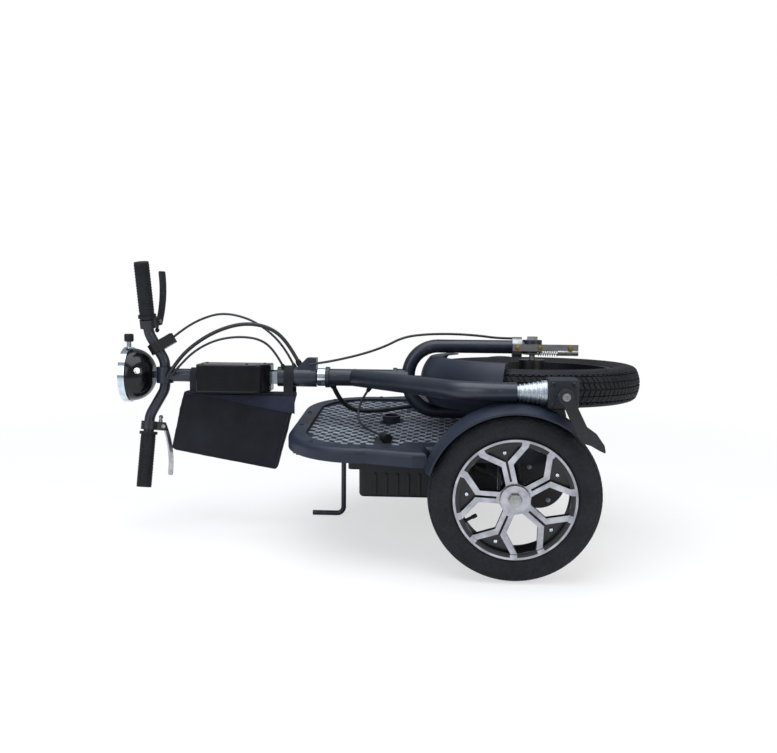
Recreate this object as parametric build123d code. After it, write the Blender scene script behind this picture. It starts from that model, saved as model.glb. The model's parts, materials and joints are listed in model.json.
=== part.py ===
from build123d import *
import os
from math import cos, radians, sin, tan

os.makedirs("parts", exist_ok=True)

# A three-wheeled electric trike, packed for transport. The deck stands on its two rear wheels and
# a prop stand. The front section is unclamped and lies on its side on top of the deck.
# X is forward, Y is left and Z is up. While modelling, X = 0 is the rear axle and Z = 0 the ground.

# Clearances between pieces
SEAT = 0.1             # between pieces that sit on each other
RUN = 0.05             # radial play of a shaft in its bearing
REST = 0.3             # between the front section and the fender that it lies on

# Rear wheels
REAR_TYRE_R = 161.5
REAR_TYRE_W = 62
REAR_SIDE = 47.5       # height of the tyre's side wall above the rim's flange
TRACK = 570
HUB_HALF = 24
HUB_R = 27
SHAFT_R = 8
SHAFT_IN = 60          # length of the shaft inside the axle tube
NUT_R = 13
NUT_H = 8
ARM_TURN = -4.5        # turn of the arms from straight ahead, degrees

# Front wheel
FRONT_TYRE_R = 220
FRONT_TYRE_W = 74
FRONT_SIDE = 55        # height of the tyre's side wall above the rim's flange
FRONT_HUB_HALF = 43
FRONT_AXLE_R = 6

# Rims, both sizes
FLANGE_H = 6.5         # flange height over the bead seat
FLANGE_T = 4.3
BEAD_HALF = 23         # half width between the flanges
BARREL_T = 3.5
HUB_LAP = 6            # how far the disc runs into the hub
FACE_DEPTH = 2         # disc face behind the flange's face
DISC_T = 12            # thickness of the spoke disc
DISC_DISH = 7          # how far the hub end of the disc sits behind its rim end
POCKET_DEPTH = 3.5     # below the disc at the hub; the dish leaves a thin floor at the rim
ARMS = 5
WINDOW_FILLET = 4
# Corners of the open window beside an arm: share of the rim's radius, degrees from the arm
WINDOW = [(0.263, 21.5), (0.583, 9.4), (0.90, 25.7)]
# Corners of the sunk pocket along an arm: share of the rim's radius, degrees from the arm
POCKET = [(0.30, 3.6), (0.64, 1.8), (0.893, 18.6)]

# Tyre section, as shares of its width
TYRE_DROP = 0.1        # the shoulder lies this far below the crown
TYRE_SHOULDER = 0.39   # half width at the shoulder
TYRE_BULGE = 0.05      # the widest place lies this far below the middle of the side wall

# Deck
DECK_TOP = 240
DECK_T = 28
DECK_FRONT = 448
DECK_REAR = -110
DECK_HALF = 262        # half width ahead of the wheels
DECK_CORNER = 150
DECK_EDGE = 11         # rounding of the rim of the deck
FLARE_OUT = 1          # how far the flare by the fenders reaches past the wheels' middle
FLARE_X = 190
FLARE_BACK = 170       # the flare starts this far behind the deck's front
WING_X = 140
BORDER = 36            # width of the smooth border round the mat
RECESS = 9
MAT_T = 4

# Frame under the deck
RAIL_Y = 110
RAIL_W = 25
RAIL_H = 22
RAIL_END = 15          # rails stop this far inside the deck's ends
CROSS_X = 400          # middle of the cross bar beside the socket
SADDLE_L = 46
SADDLE_H = 20          # saddle wall below the axle tube
SOCKET_W = 52
SOCKET_H = 44
SOCKET_WALL = 4
SOCKET_L = 120
SOCKET_PROUD = 7       # how far the socket's mouth stands ahead of the deck
SEAT_X = 246
SEAT_TUBE_R = 19
SEAT_BORE_R = 15.2
SEAT_PROUD = 15        # height of the seat socket's collar over the mat

# Battery
BATTERY_REAR = 70
BATTERY_FRONT = 324
BATTERY_HALF = 150
BATTERY_H = 78
BATTERY_STEP = 22
LID_H = 20
BATTERY_FILLET = 9

# Rear axle and drive
AXLE_TUBE_R = 20
AXLE_GAP = 35          # between the tube's end and the wheel's middle
GEARCASE_R = 48
GEARCASE_W = 74
GEARCASE_Y = -22
MOTOR_R = 52
MOTOR_W = 110
MOTOR_X = -62
MOTOR_Y = 36
MOTOR_Z = -30          # motor axis below the rear axle
RIB_COUNT = 6
RIB_T = 4
RIB_H = 4

# Fenders
FENDER_GAP = 9.5       # between tyre and fender
FENDER_T = 3.8
FENDER_W = 90
FENDER_CROWN = 8       # drop of the fender's edges
FENDER_START = 17      # degrees above the horizontal, at the front
FENDER_END = 132
ARCH_T = 4             # arch wall between fender and deck

# Prop stand
STAND_X = 358
STAND_Y = -87
STAND_Z = 178
STAND_ROD_R = 5.5
STAND_LEAN = 4         # degrees past upright, towards its stop
STAND_FOOT = 70
STAND_BEND = 15
STAND_EYE_R = 11
STAND_EYE_W = 13
STAND_PIN_R = 4
LUG_T = 5
LUG_W = 20
LUG_GAP = 2
LUG_BELOW = 12

# Front section: its own frame has its origin at the front axle, X forward, Y left, Z up the steering
LAY_X = -48            # place of the front axle when packed
LAY_IN = 275           # the front axle lies this far inwards of the left wheel's middle
LAY_ROLL = 5           # degrees
NECK_R = 18.5
NECK_X = -265          # the neck's straight foot, behind the steering axis
NECK_FOOT = 48
NECK_KNEE = 140
NECK_BEND = 130
NECK_TOP = 372         # where the neck meets the head tube
LEG_R = 14
LEG_Y = 69
LEG_END = -16
LEG_BOSS = 1           # how far the axle boss stands out of the leg on each side
CROWN_Z = 258
CROWN_BEND = 62
BOSS_R = 20
STEERER_R = 13
STEERER_TOP = 452
CUP_R = 22
CUP_H = 8
HEAD_LOW = 290
HEAD_HIGH = 425
HEAD_R = 18
HEAD_BORE = 13.8
COLLAR_R = 19
COLLAR_H = 16
AXLE_NUT_R = 12
AXLE_NUT_H = 7

# Front fender
GUARD_GAP = 9
GUARD_T = 3
GUARD_HALF = 48
GUARD_CROWN = 20
GUARD_SKIRT = 26
GUARD_START = 55       # degrees up from straight ahead
GUARD_SWEEP = 107
GUARD_STAY = 12

# Coupling at the foot of the neck
CONE_SMALL_R = 14
CONE_LARGE_R = 21
CONE_RINGS = 6
CONE_GROOVE = 1.2
CONE_FLANGE_R = 23
CONE_FLANGE_T = 6
CONE_L = 54
BLOCK = 56
BLOCK_EDGE = 5
PIN_R = 9
PIN_PROUD = 46
LEVER_T = 10
LEVER_FREE = 35        # between the block's face and the lever, which clears the fender's edge
LEVER_EYE_R = 14
LEVER_EDGE = 2
# Outline of the release lever's arm from its pivot: towards the rear, down
LEVER = [(9, -5), (37, 52), (54, 64), (68, 84), (71, 99), (58, 93), (44, 85), (30, 81), (21, 70), (-9, 5)]

# Stem, console and handlebar
CLAMP_R = 21
CLAMP_TOP = 535
GUIDE_H = 20           # height of the cable guide's fin
STEM_R = 14
BAR_Z = 780
BAR_CLAMP_R = 18
BAR_CLAMP_W = 34
CONSOLE_LOW = 545
CONSOLE_L = 150
CONSOLE_D = 58
CONSOLE_H = 58
CONSOLE_NOSE = 42      # large rounding at its lower end
CONSOLE_EDGE = 6
BAR_R = 11.1
BAR_HALF = 235
BAR_RISE = 34
BAR_TIP = 6            # further rise from the kink to the bar's end
BAR_SWEEP = -28
BAR_KINK = 88
BAR_STRAIGHT = 30
BAR_BEND = 40
GRIP_R = 15.5
GRIP_L = 115
GRIP_FLANGE_R = 19
GRIP_FLANGE_T = 6
GRIP_CAP = 4           # closed end beyond the bar

# Brake levers: distance of the clamp from the bar's end, blade length, thickness
PERCH_IN = 128
PERCH_W = 18
PERCH_R = 17
PERCH_LAP = 2          # how far the arm runs into the clamp
PERCH_OUT = 34         # pivot of the blade from the bar's axis
BLADE_L = 100
BLADE_T = 8
BLADE_W = 13
BLADE_OPEN = 14        # degrees between blade and bar
LEFT_TURN = 60         # turn of the lever round the bar from straight ahead, degrees
RIGHT_TURN = -30
POD_L = 22
POD_R = 17
POD_REACH = 42
POD_W = 24
POD_EDGE = 4.4
POD_PLACE = 0.5        # share of the way up the bar's rise

# Lamp
LAMP_BACK = 803
LAMP_DEPTH = 48
LAMP_R = 56
LAMP_BACK_R = 20
LAMP_WALL = 3
LAMP_SWELL = 6.7       # how far the bowl swells past a straight cone
LAMP_SWELL_AT = 0.33   # share of the depth where it swells most
RING_R = 59
RING_T = 14
LENS_DOME = 8
KNOB_R = 10
KNOB_L = 17
KNOB_EDGE = 3.3
STUB_R = 5
STUB_L = 11

# Front brake on the upper fork leg
BRAKE_ARM_W = 14
BRAKE_ARM_T = 8
BRAKE_ARM_LOW = -92
BRAKE_ARM_TOP = 22
BRAKE_CLAMP_T = 7
BRAKE_CLAMP_L = 20
BARREL_R = 6
BARREL_L = 42

# Carry bag that hangs from the stem. Corners of its side: along the steering axis, down from the stem
BAG_T = 52
BAG_X = -6
BAG_EDGE = 12
BAG = [(736, 0), (490, 0), (534, 171), (766, 131)]

# Cables. Routes on the front section are in its own frame
CABLE_R = 2.5
BUNDLE_R = 4
HARNESS_R = 5
GLAND_R = 9
GLAND_L = 18
BAR_ROUTES = {
    "high_loop": (CABLE_R, [(15, -70, 778), (20, -96, 748), (26, -120, 708), (26, -134, 660), (24, -122, 602),
                            (20, -92, 554), (17, -54, 520), (10, -21, 502)]),
    "bundle": (BUNDLE_R, [(-20, 4, 770), (-22, -32, 748), (-22, -70, 708), (-20, -100, 656), (-16, -114, 600),
                          (-12, -104, 548), (-10, -72, 512), (-6, -30, 490)]),
    "flat_loop": (CABLE_R, [(-17, 6, 768), (-30, -18, 744), (-34, -54, 708), (-34, -78, 662), (-32, -86, 612),
                            (-28, -80, 566), (-20, -54, 538), (-11, -21, 522)]),
    "brake_run": (CABLE_R, [(-17, -28, 466), (-22, -32, 438), (-30, -40, 400), (-32, -52, 352),
                            (-28, -68, 306), (-18, -88, 268), (-8, -94, 220), (-2, -95, 166),
                            (0, -92, 112), (0, -86.9, 72), (0, -86.9, 42.4)]),
}
# Routes over the deck: X from the rear axle, share of the way from the neck to the gland, Z up
GLAND_IN = {"thick_harness": 126, "thin_lead": 86}   # glands inwards of the deck's side
LEAVE_Y = {"thick_harness": -1, "thin_lead": 49}     # where a cable leaves the front frame
DECK_ROUTES = {
    "thick_harness": (HARNESS_R, -1, [(372, 0, 314), (364, 0.052, 292), (350, 0.126, 269), (328, 0.215, 253),
                                      (298, 0.333, 248), (264, 0.481, 247), (230, 0.689, 247),
                                      (204, 0.896, 246), (192, 1, 245)]),
    "thin_lead": (CABLE_R, 1, [(290, 0, 315.2), (302, 0.031, 298), (311, 0.102, 276), (310, 0.228, 256),
                               (298, 0.417, 248), (280, 0.654, 246), (262, 0.874, 245), (251, 1, 245)]),
}
ROUTE_FILL = 0.45      # share of the shorter run that an arc takes up

# Values that follow from the ones above
HUB_Z = REAR_TYRE_R
REAR_RIM_R = REAR_TYRE_R - REAR_SIDE
FRONT_RIM_R = FRONT_TYRE_R - FRONT_SIDE
AXLE_TUBE_END = TRACK / 2 - AXLE_GAP
DECK_WAIST = TRACK / 2 - FENDER_W / 2 - ARCH_T
FLARE_HALF = TRACK / 2 + FLARE_OUT
FLARE_END_X = DECK_FRONT - FLARE_BACK
DECK_LOW = DECK_TOP - DECK_T
MAT_TOP = DECK_TOP - RECESS + MAT_T
RAIL_LOW = DECK_LOW - RAIL_H
BATTERY_TOP = RAIL_LOW - REST
FENDER_R = REAR_TYRE_R + FENDER_GAP + FENDER_T
FENDER_Y = TRACK / 2
ROLL = radians(LAY_ROLL)
LAY_Y = TRACK / 2 - LAY_IN
LAY_Z = HUB_Z + FENDER_R + REST + NECK_R + NECK_X * sin(ROLL)
GUARD_R = FRONT_TYRE_R + GUARD_GAP + GUARD_T
AXLE_NUT_LOW = LEG_Y + LEG_R + LEG_BOSS + SEAT
AXLE_END = AXLE_NUT_LOW + AXLE_NUT_H
BRAKE_CLAMP_R = LEG_R + BRAKE_CLAMP_T
STEM_LOW = STEERER_TOP + SEAT
WHEEL_SIDES = {"left": 1, "right": -1}

# The packed front section: its X axis points away from the near side, its Z axis forward
LAY = Plane(origin=(LAY_X, LAY_Y, LAY_Z), x_dir=(0, -cos(ROLL), -sin(ROLL)), z_dir=(1, 0, 0)).location


def polar(radius, angle):
    """A point at a distance and an angle in degrees."""
    return (radius * cos(radians(angle)), radius * sin(radians(angle)))


def turned(edges, sweep=360):
    """Revolve a closed outline of (radius, along the axis) about Z."""
    return revolve(Plane.XZ * make_face(edges), Axis.Z, sweep)


def rod(start, end, radius):
    """A round bar between two points."""
    direction = Vector(*end) - Vector(*start)
    return extrude(Plane(start, z_dir=direction) * Circle(radius), direction.length)


def tube(start, end, outer, inner):
    """A round tube between two points."""
    return rod(start, end, outer) - rod(start, end, inner)


def block(x, y, z):
    """A box given by its low and high ends along each axis."""
    size = [high - low for low, high in (x, y, z)]
    middle = [(high + low) / 2 for low, high in (x, y, z)]
    return Pos(*middle) * Box(*size)


def swept(path, radius):
    """A round bar along a path."""
    return sweep(Plane(path @ 0, z_dir=path % 0) * Circle(radius), path)


def route(points):
    """A cable's path: straight runs joined by arcs as large as the runs allow."""
    stops = [Vector(*point) for point in points]
    runs = [after - before for before, after in zip(stops, stops[1:])]
    radii = []
    for one, two in zip(runs, runs[1:]):
        turn = radians(one.get_angle(two))
        radii.append(ROUTE_FILL * min(one.length, two.length) / tan(turn / 2))
    return FilletPolyline(*stops, radius=radii), radii


# Wheels, made about the Z axis with the outer face up
def tyre(radius, width, rim_r):
    """A tyre with flat beads, round side walls and a crowned tread."""
    bead_r = rim_r - FLANGE_H + SEAT
    bead = BEAD_HALF - SEAT
    lip_r = rim_r + SEAT
    shoulder = (radius - TYRE_DROP * width, TYRE_SHOULDER * width)
    widest = ((lip_r + radius) / 2 - TYRE_BULGE * width, width / 2)
    low = [(bead_r, -bead), (lip_r, -bead)]
    high = [(lip_r, bead), (bead_r, bead)]
    side = (shoulder[0], -shoulder[1])
    return turned([
        Line(low[0], low[1]),
        ThreePointArc(low[1], (widest[0], -widest[1]), side),
        ThreePointArc(side, (radius, 0), shoulder),
        ThreePointArc(shoulder, widest, high[0]),
        Line(high[0], high[1]),
        Line(high[1], low[0]),
    ])


def spoke_cut(corners, rim_r, centre, outer_arc):
    """A cut beside or along an arm, mirrored about the direction of its centre."""
    lower = [polar(share * rim_r, angle) for share, angle in corners]
    upper = [polar(share * rim_r, 2 * centre - angle) for share, angle in reversed(corners)]
    if outer_arc:
        crown = polar(corners[-1][0] * rim_r, centre)
        edges = [Polyline(*lower), ThreePointArc(lower[-1], crown, upper[0]), Polyline(*upper)]
        return make_face(edges + [Line(upper[-1], lower[0])])
    face = make_face(Polyline(*lower, *upper, close=True))
    return fillet(face.vertices(), WINDOW_FILLET)


def alloy_wheel(rim_r, hub_half, bore_r):
    """A cast wheel: a flanged barrel, a dished disc cut into forked arms, and a bored hub."""
    seat_r = rim_r - FLANGE_H
    inner_r = seat_r - BARREL_T
    outer = BEAD_HALF + FLANGE_T
    half = [(seat_r, BEAD_HALF), (rim_r, BEAD_HALF), (rim_r, outer), (inner_r, outer)]
    mirrored = [(radius, -along) for radius, along in reversed(half)]
    barrel = turned(Polyline(*half, *mirrored, close=True))
    face = outer - FACE_DEPTH
    hub_face = face - DISC_DISH
    lap = inner_r + BARREL_T / 2
    root = HUB_R - HUB_LAP
    disc = turned(Polyline((root, hub_face), (lap, face), (lap, face - DISC_T), (root, hub_face - DISC_T),
                           close=True))
    step = 360 / ARMS
    window = extrude(spoke_cut(WINDOW, rim_r, step / 2, False), 2 * outer, both=True)
    floor = Pos(0, 0, hub_face - POCKET_DEPTH)
    pocket = extrude(floor * spoke_cut(POCKET, rim_r, 0, True), 2 * outer)
    for arm in range(ARMS):
        turn = Rot(0, 0, ARM_TURN + arm * step)
        disc = disc - turn * window
        disc = disc - turn * pocket
    hub = Cylinder(HUB_R, 2 * hub_half)
    bore = Cylinder(bore_r, 4 * hub_half)
    return barrel + disc + hub - bore


def hex_nut(radius, height):
    """A six-sided nut standing on the XY plane."""
    return extrude(RegularPolygon(radius, 6), height)


UPRIGHT = Rot(-90, 0, 0)
rear_wheel = {
    "rear_tyre": tyre(REAR_TYRE_R, REAR_TYRE_W, REAR_RIM_R),
    "rear_rim": alloy_wheel(REAR_RIM_R, HUB_HALF, SHAFT_R + SEAT),
    "rear_shaft": rod((0, 0, AXLE_TUBE_END - SHAFT_IN - TRACK / 2), (0, 0, HUB_HALF + NUT_H), SHAFT_R)
    + Pos(0, 0, HUB_HALF + SEAT) * hex_nut(NUT_R, NUT_H),
}
parts = {}
for side, sign in WHEEL_SIDES.items():
    for name, solid in rear_wheel.items():
        placed = Pos(0, TRACK / 2, HUB_Z) * UPRIGHT * solid
        parts[f"{name}_{side}"] = placed if sign > 0 else mirror(placed, Plane.XZ)


# Deck: a moulded tray with a rolled border, and a rubber mat in it
def deck_outline():
    """The deck from above: round front corners, a flare into the fenders, a waist between wheels."""
    left = [(DECK_FRONT, DECK_HALF), (FLARE_END_X, DECK_HALF), (FLARE_X, FLARE_HALF), (WING_X, FLARE_HALF),
            (WING_X, DECK_WAIST), (DECK_REAR, DECK_WAIST)]
    right = [(x, -y) for x, y in reversed(left)]
    face = make_face(Polyline(*left, *right, close=True))
    corners = face.vertices().group_by(Axis.X)
    face = fillet(corners[-1], DECK_CORNER)
    return fillet(face.vertices().group_by(Axis.X)[0], BORDER)


outline = deck_outline()
tray = extrude(Pos(0, 0, DECK_LOW) * outline, DECK_T)
for side, sign in WHEEL_SIDES.items():
    bay = Cylinder(FENDER_R + SEAT, 2 * (FENDER_Y - DECK_WAIST))
    tray = tray - Pos(0, sign * FENDER_Y, HUB_Z) * UPRIGHT * bay
tray = fillet(tray.edges().group_by(Axis.Z)[-1], DECK_EDGE)
mat_face = make_face(Polyline(
    (DECK_FRONT - BORDER, DECK_HALF - BORDER), (FENDER_R + BORDER, DECK_HALF - BORDER),
    (FENDER_R + BORDER, DECK_WAIST - BORDER), (DECK_REAR + BORDER, DECK_WAIST - BORDER),
    (DECK_REAR + BORDER, BORDER - DECK_WAIST), (FENDER_R + BORDER, BORDER - DECK_WAIST),
    (FENDER_R + BORDER, BORDER - DECK_HALF), (DECK_FRONT - BORDER, BORDER - DECK_HALF), close=True))
mat_face = fillet(mat_face.vertices().group_by(Axis.X)[-1], DECK_CORNER - BORDER)
mat_bed = DECK_TOP - RECESS
tray = tray - extrude(Pos(0, 0, mat_bed) * mat_face, RECESS)
seat_hole = rod((SEAT_X, 0, 0), (SEAT_X, 0, DECK_TOP), SEAT_TUBE_R + SEAT)
parts["deck_shell"] = tray - seat_hole
mat = extrude(Pos(0, 0, mat_bed) * offset(mat_face, -REST), MAT_T)
parts["deck_mat"] = mat - seat_hole
seat_top = (SEAT_X, 0, MAT_TOP + SEAT_PROUD)
parts["seat_socket"] = tube((SEAT_X, 0, RAIL_LOW), seat_top, SEAT_TUBE_R, SEAT_BORE_R)


# Frame under the deck: two rails, cross bars, and saddles that hold the axle tube
def under_frame():
    """Welded rails with a cross bar at each end and a saddle on each rail."""
    height = (RAIL_LOW, DECK_LOW)
    ends = (DECK_REAR + RAIL_END, DECK_FRONT - RAIL_END)
    frame = block((ends[0], ends[0] + RAIL_W), (-RAIL_Y, RAIL_Y), height)
    for sign in WHEEL_SIDES.values():
        rail = sorted((sign * (RAIL_Y - RAIL_W / 2), sign * (RAIL_Y + RAIL_W / 2)))
        frame = frame + block(ends, rail, height)
        bar = sorted((sign * (SOCKET_W / 2 + SEAT), sign * RAIL_Y))
        frame = frame + block((CROSS_X - RAIL_W / 2, CROSS_X + RAIL_W / 2), bar, height)
        low = HUB_Z - AXLE_TUBE_R - SADDLE_H
        frame = frame + block((-SADDLE_L / 2, SADDLE_L / 2), rail, (low, DECK_LOW))
    hole = rod((0, -TRACK, HUB_Z), (0, TRACK, HUB_Z), AXLE_TUBE_R + SEAT)
    return frame - hole


parts["under_frame"] = under_frame()
socket_end = DECK_FRONT + SOCKET_PROUD
socket_x = (socket_end - SOCKET_L, socket_end)
socket_z = (DECK_LOW - SOCKET_H, DECK_LOW)
inner_half = SOCKET_W / 2 - SOCKET_WALL
bore_z = (socket_z[0] + SOCKET_WALL, socket_z[1] - SOCKET_WALL)
socket_wall = block(socket_x, (-SOCKET_W / 2, SOCKET_W / 2), socket_z)
parts["front_socket"] = socket_wall - block(socket_x, (-inner_half, inner_half), bore_z)


# Battery box with a stepped front and a lid seam
def battery_box():
    """A hard case that hangs from the rails, its lid longer than its body."""
    lid_low = BATTERY_TOP - LID_H
    wide = (-BATTERY_HALF, BATTERY_HALF)
    body = block((BATTERY_REAR, BATTERY_FRONT - BATTERY_STEP), wide, (BATTERY_TOP - BATTERY_H, lid_low))
    body = fillet(body.edges().group_by(Axis.Z)[0] + body.edges().filter_by(Axis.Z), BATTERY_FILLET)
    lid = block((BATTERY_REAR, BATTERY_FRONT), wide, (lid_low, BATTERY_TOP))
    lid = fillet(lid.edges().filter_by(Axis.Z), BATTERY_FILLET)
    return body + lid


parts["battery_box"] = battery_box()


# Rear axle tube with a gear case, and the motor behind it
def axle_tube():
    """The axle tube: a bearing bore at each end, and the round gear case near its middle."""
    axle = rod((0, -AXLE_TUBE_END, 0), (0, AXLE_TUBE_END, 0), AXLE_TUBE_R)
    case = rod((0, GEARCASE_Y - GEARCASE_W / 2, 0), (0, GEARCASE_Y + GEARCASE_W / 2, 0), GEARCASE_R)
    axle = axle + fillet(case.edges(), RIB_H)
    for sign in WHEEL_SIDES.values():
        depth = AXLE_TUBE_END - SHAFT_IN - NUT_H
        axle = axle - rod((0, sign * depth, 0), (0, sign * TRACK, 0), SHAFT_R + RUN)
    return Pos(0, 0, HUB_Z) * axle


def drive_motor():
    """A ribbed round motor, cut to sit against the gear case and the axle tube."""
    middle = -MOTOR_W / 2
    body = rod((0, middle, 0), (0, -middle, 0), MOTOR_R)
    pitch = MOTOR_W / (RIB_COUNT + 1)
    for rib in range(RIB_COUNT):
        start = middle + (rib + 1) * pitch - RIB_T / 2
        body = body + rod((0, start, 0), (0, start + RIB_T, 0), MOTOR_R + RIB_H)
    body = Pos(MOTOR_X, MOTOR_Y, HUB_Z + MOTOR_Z) * body
    bay = rod((0, -TRACK, HUB_Z), (0, TRACK, HUB_Z), AXLE_TUBE_R + SEAT)
    case_y = (GEARCASE_Y - GEARCASE_W / 2 - SEAT, GEARCASE_Y + GEARCASE_W / 2 + SEAT)
    bay = bay + rod((0, case_y[0], HUB_Z), (0, case_y[1], HUB_Z), GEARCASE_R + SEAT)
    return body - bay


parts["axle_tube"] = axle_tube()
parts["drive_motor"] = drive_motor()


# Rear fenders: a crowned band over the tyre, and the arch wall that joins it to the deck
def fender():
    """The left fender about its wheel's centre, front at +X."""
    half = FENDER_W / 2
    edge = FENDER_R - FENDER_CROWN
    inner = FENDER_R - FENDER_T
    band = turned([
        ThreePointArc((edge, -half), (FENDER_R, 0), (edge, half)),
        Line((edge, half), (edge - FENDER_T, half)),
        ThreePointArc((edge - FENDER_T, half), (inner, 0), (edge - FENDER_T, -half)),
        Line((edge - FENDER_T, -half), (edge, -half)),
    ], FENDER_END - FENDER_START)
    wall_in = DECK_WAIST + SEAT - FENDER_Y
    wall = turned(Polyline((AXLE_TUBE_R, -wall_in), (edge, -wall_in), (edge, half),
                           (AXLE_TUBE_R, half), close=True), FENDER_END - FENDER_START)
    place = Rot(90, 0, 0) * Rot(0, 0, FENDER_START)
    sill = DECK_LOW - HUB_Z
    below = block((-TRACK, TRACK), (-TRACK, TRACK), (-TRACK, sill))
    return place * band + (place * wall - below)


left_fender = Pos(0, FENDER_Y, HUB_Z) * fender()
parts["fender_left"] = left_fender
parts["fender_right"] = mirror(left_fender, Plane.XZ)


# Prop stand: a bent rod on a pin between two lugs under the deck
def prop_stand():
    """An eye and an L-shaped rod that leans just past upright."""
    drop = STAND_Z - STAND_ROD_R
    foot_y = STAND_Y + drop * tan(radians(STAND_LEAN))
    path = FilletPolyline((STAND_X, STAND_Y, STAND_Z), (STAND_X, foot_y, STAND_ROD_R),
                          (STAND_X + STAND_FOOT, foot_y, STAND_ROD_R), radius=STAND_BEND)
    half = STAND_EYE_W / 2
    eye = rod((STAND_X - half, STAND_Y, STAND_Z), (STAND_X + half, STAND_Y, STAND_Z), STAND_EYE_R)
    hole = rod((STAND_X - TRACK, STAND_Y, STAND_Z), (STAND_X + TRACK, STAND_Y, STAND_Z), STAND_PIN_R + RUN)
    return swept(path, STAND_ROD_R) + eye - hole


def stand_bracket():
    """Two lugs under the deck and the pin through them."""
    near = STAND_EYE_W / 2 + LUG_GAP
    wide = (STAND_Y - LUG_W / 2, STAND_Y + LUG_W / 2)
    high = (STAND_Z - LUG_BELOW, DECK_LOW)
    ends = near + LUG_T
    bracket = rod((STAND_X - ends, STAND_Y, STAND_Z), (STAND_X + ends, STAND_Y, STAND_Z), STAND_PIN_R)
    for low in (STAND_X - ends, STAND_X + near):
        bracket = bracket + block((low, low + LUG_T), wide, high)
    return bracket


parts["prop_stand"] = prop_stand()
parts["stand_bracket"] = stand_bracket()

front = {}


# Front frame: neck, head tube, headset cups and the coupling
def neck_tube():
    """The gooseneck: a straight foot, a large bend and a run up to the head tube."""
    path = FilletPolyline((NECK_X, 0, NECK_FOOT), (NECK_X, 0, NECK_KNEE), (0, 0, NECK_TOP), radius=NECK_BEND)
    neck = swept(path, NECK_R)
    return neck - rod((0, 0, 0), (0, 0, BAR_Z), HEAD_R + SEAT)


front["neck_tube"] = neck_tube().solids().sort_by(Axis.X)[0]
front["head_tube"] = tube((0, 0, HEAD_LOW), (0, 0, HEAD_HIGH), HEAD_R, HEAD_BORE)
cups = tube((0, 0, HEAD_LOW - CUP_H), (0, 0, HEAD_LOW), CUP_R, STEERER_R + RUN)
front["headset"] = cups + tube((0, 0, HEAD_HIGH), (0, 0, HEAD_HIGH + CUP_H), CUP_R, STEERER_R + RUN)


def coupling_cone():
    """A ringed cone that widens from the neck to a flange on the coupling block."""
    foot = NECK_FOOT - CONE_L
    pitch = (CONE_L - CONE_FLANGE_T) / CONE_RINGS
    points = [(0, foot), (CONE_FLANGE_R, foot), (CONE_FLANGE_R, foot + CONE_FLANGE_T)]
    for ring in range(CONE_RINGS):
        radius = CONE_LARGE_R + (CONE_SMALL_R - CONE_LARGE_R) * ring / (CONE_RINGS - 1)
        low = foot + CONE_FLANGE_T + ring * pitch
        points += [(radius, low), (radius - CONE_GROOVE, low + pitch)]
    return turned(Polyline(*points, (0, NECK_FOOT), close=True))


front["coupling_cone"] = Pos(NECK_X, 0, 0) * coupling_cone()
block_top = NECK_FOOT - CONE_L
cube = Pos(NECK_X, 0, block_top - BLOCK / 2) * Box(BLOCK, BLOCK, BLOCK)
cube = fillet(cube.edges(), BLOCK_EDGE)
face_x = NECK_X - BLOCK / 2
pivot_z = block_top - BLOCK / 2
front["coupling_block"] = cube + rod((NECK_X, 0, pivot_z), (face_x - PIN_PROUD, 0, pivot_z), PIN_R)


def release_lever():
    """A flat lever on the block's pin that curves to a pointed tip."""
    corners = [(-rear, down) for rear, down in LEVER]
    face = fillet(make_face(Polyline(*corners, close=True)).vertices(), LEVER_EDGE)
    face = face + Circle(LEVER_EYE_R) - Circle(PIN_R + SEAT)
    across = Plane(origin=(face_x - LEVER_FREE, 0, pivot_z), x_dir=(0, 0, 1), z_dir=(-1, 0, 0))
    return extrude(across * face, LEVER_T)


front["release_lever"] = release_lever()


# Steering: fork, front fender, stem and what the handlebar carries
def fork():
    """Two legs bent over into one crown, with a steerer and a boss for the axle at each leg's end."""
    path = FilletPolyline((0, LEG_Y, LEG_END), (0, LEG_Y, CROWN_Z), (0, -LEG_Y, CROWN_Z),
                          (0, -LEG_Y, LEG_END), radius=CROWN_BEND)
    body = swept(path, LEG_R)
    body = body + rod((0, 0, CROWN_Z), (0, 0, HEAD_LOW - CUP_H - REST), BOSS_R)
    body = body + rod((0, 0, CROWN_Z), (0, 0, STEERER_TOP), STEERER_R)
    for sign in WHEEL_SIDES.values():
        ends = (LEG_Y - LEG_R - LEG_BOSS, LEG_Y + LEG_R + LEG_BOSS)
        body = body + rod((0, sign * ends[0], 0), (0, sign * ends[1], 0), BOSS_R)
    return body - rod((0, -TRACK, 0), (0, TRACK, 0), FRONT_AXLE_R + SEAT)


front["fork"] = fork()
axle = rod((0, -AXLE_END, 0), (0, AXLE_END, 0), FRONT_AXLE_R)
for low in (AXLE_NUT_LOW, -AXLE_END):
    axle = axle + Pos(0, low, 0) * UPRIGHT * hex_nut(AXLE_NUT_R, AXLE_NUT_H)
front["front_axle"] = axle


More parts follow.
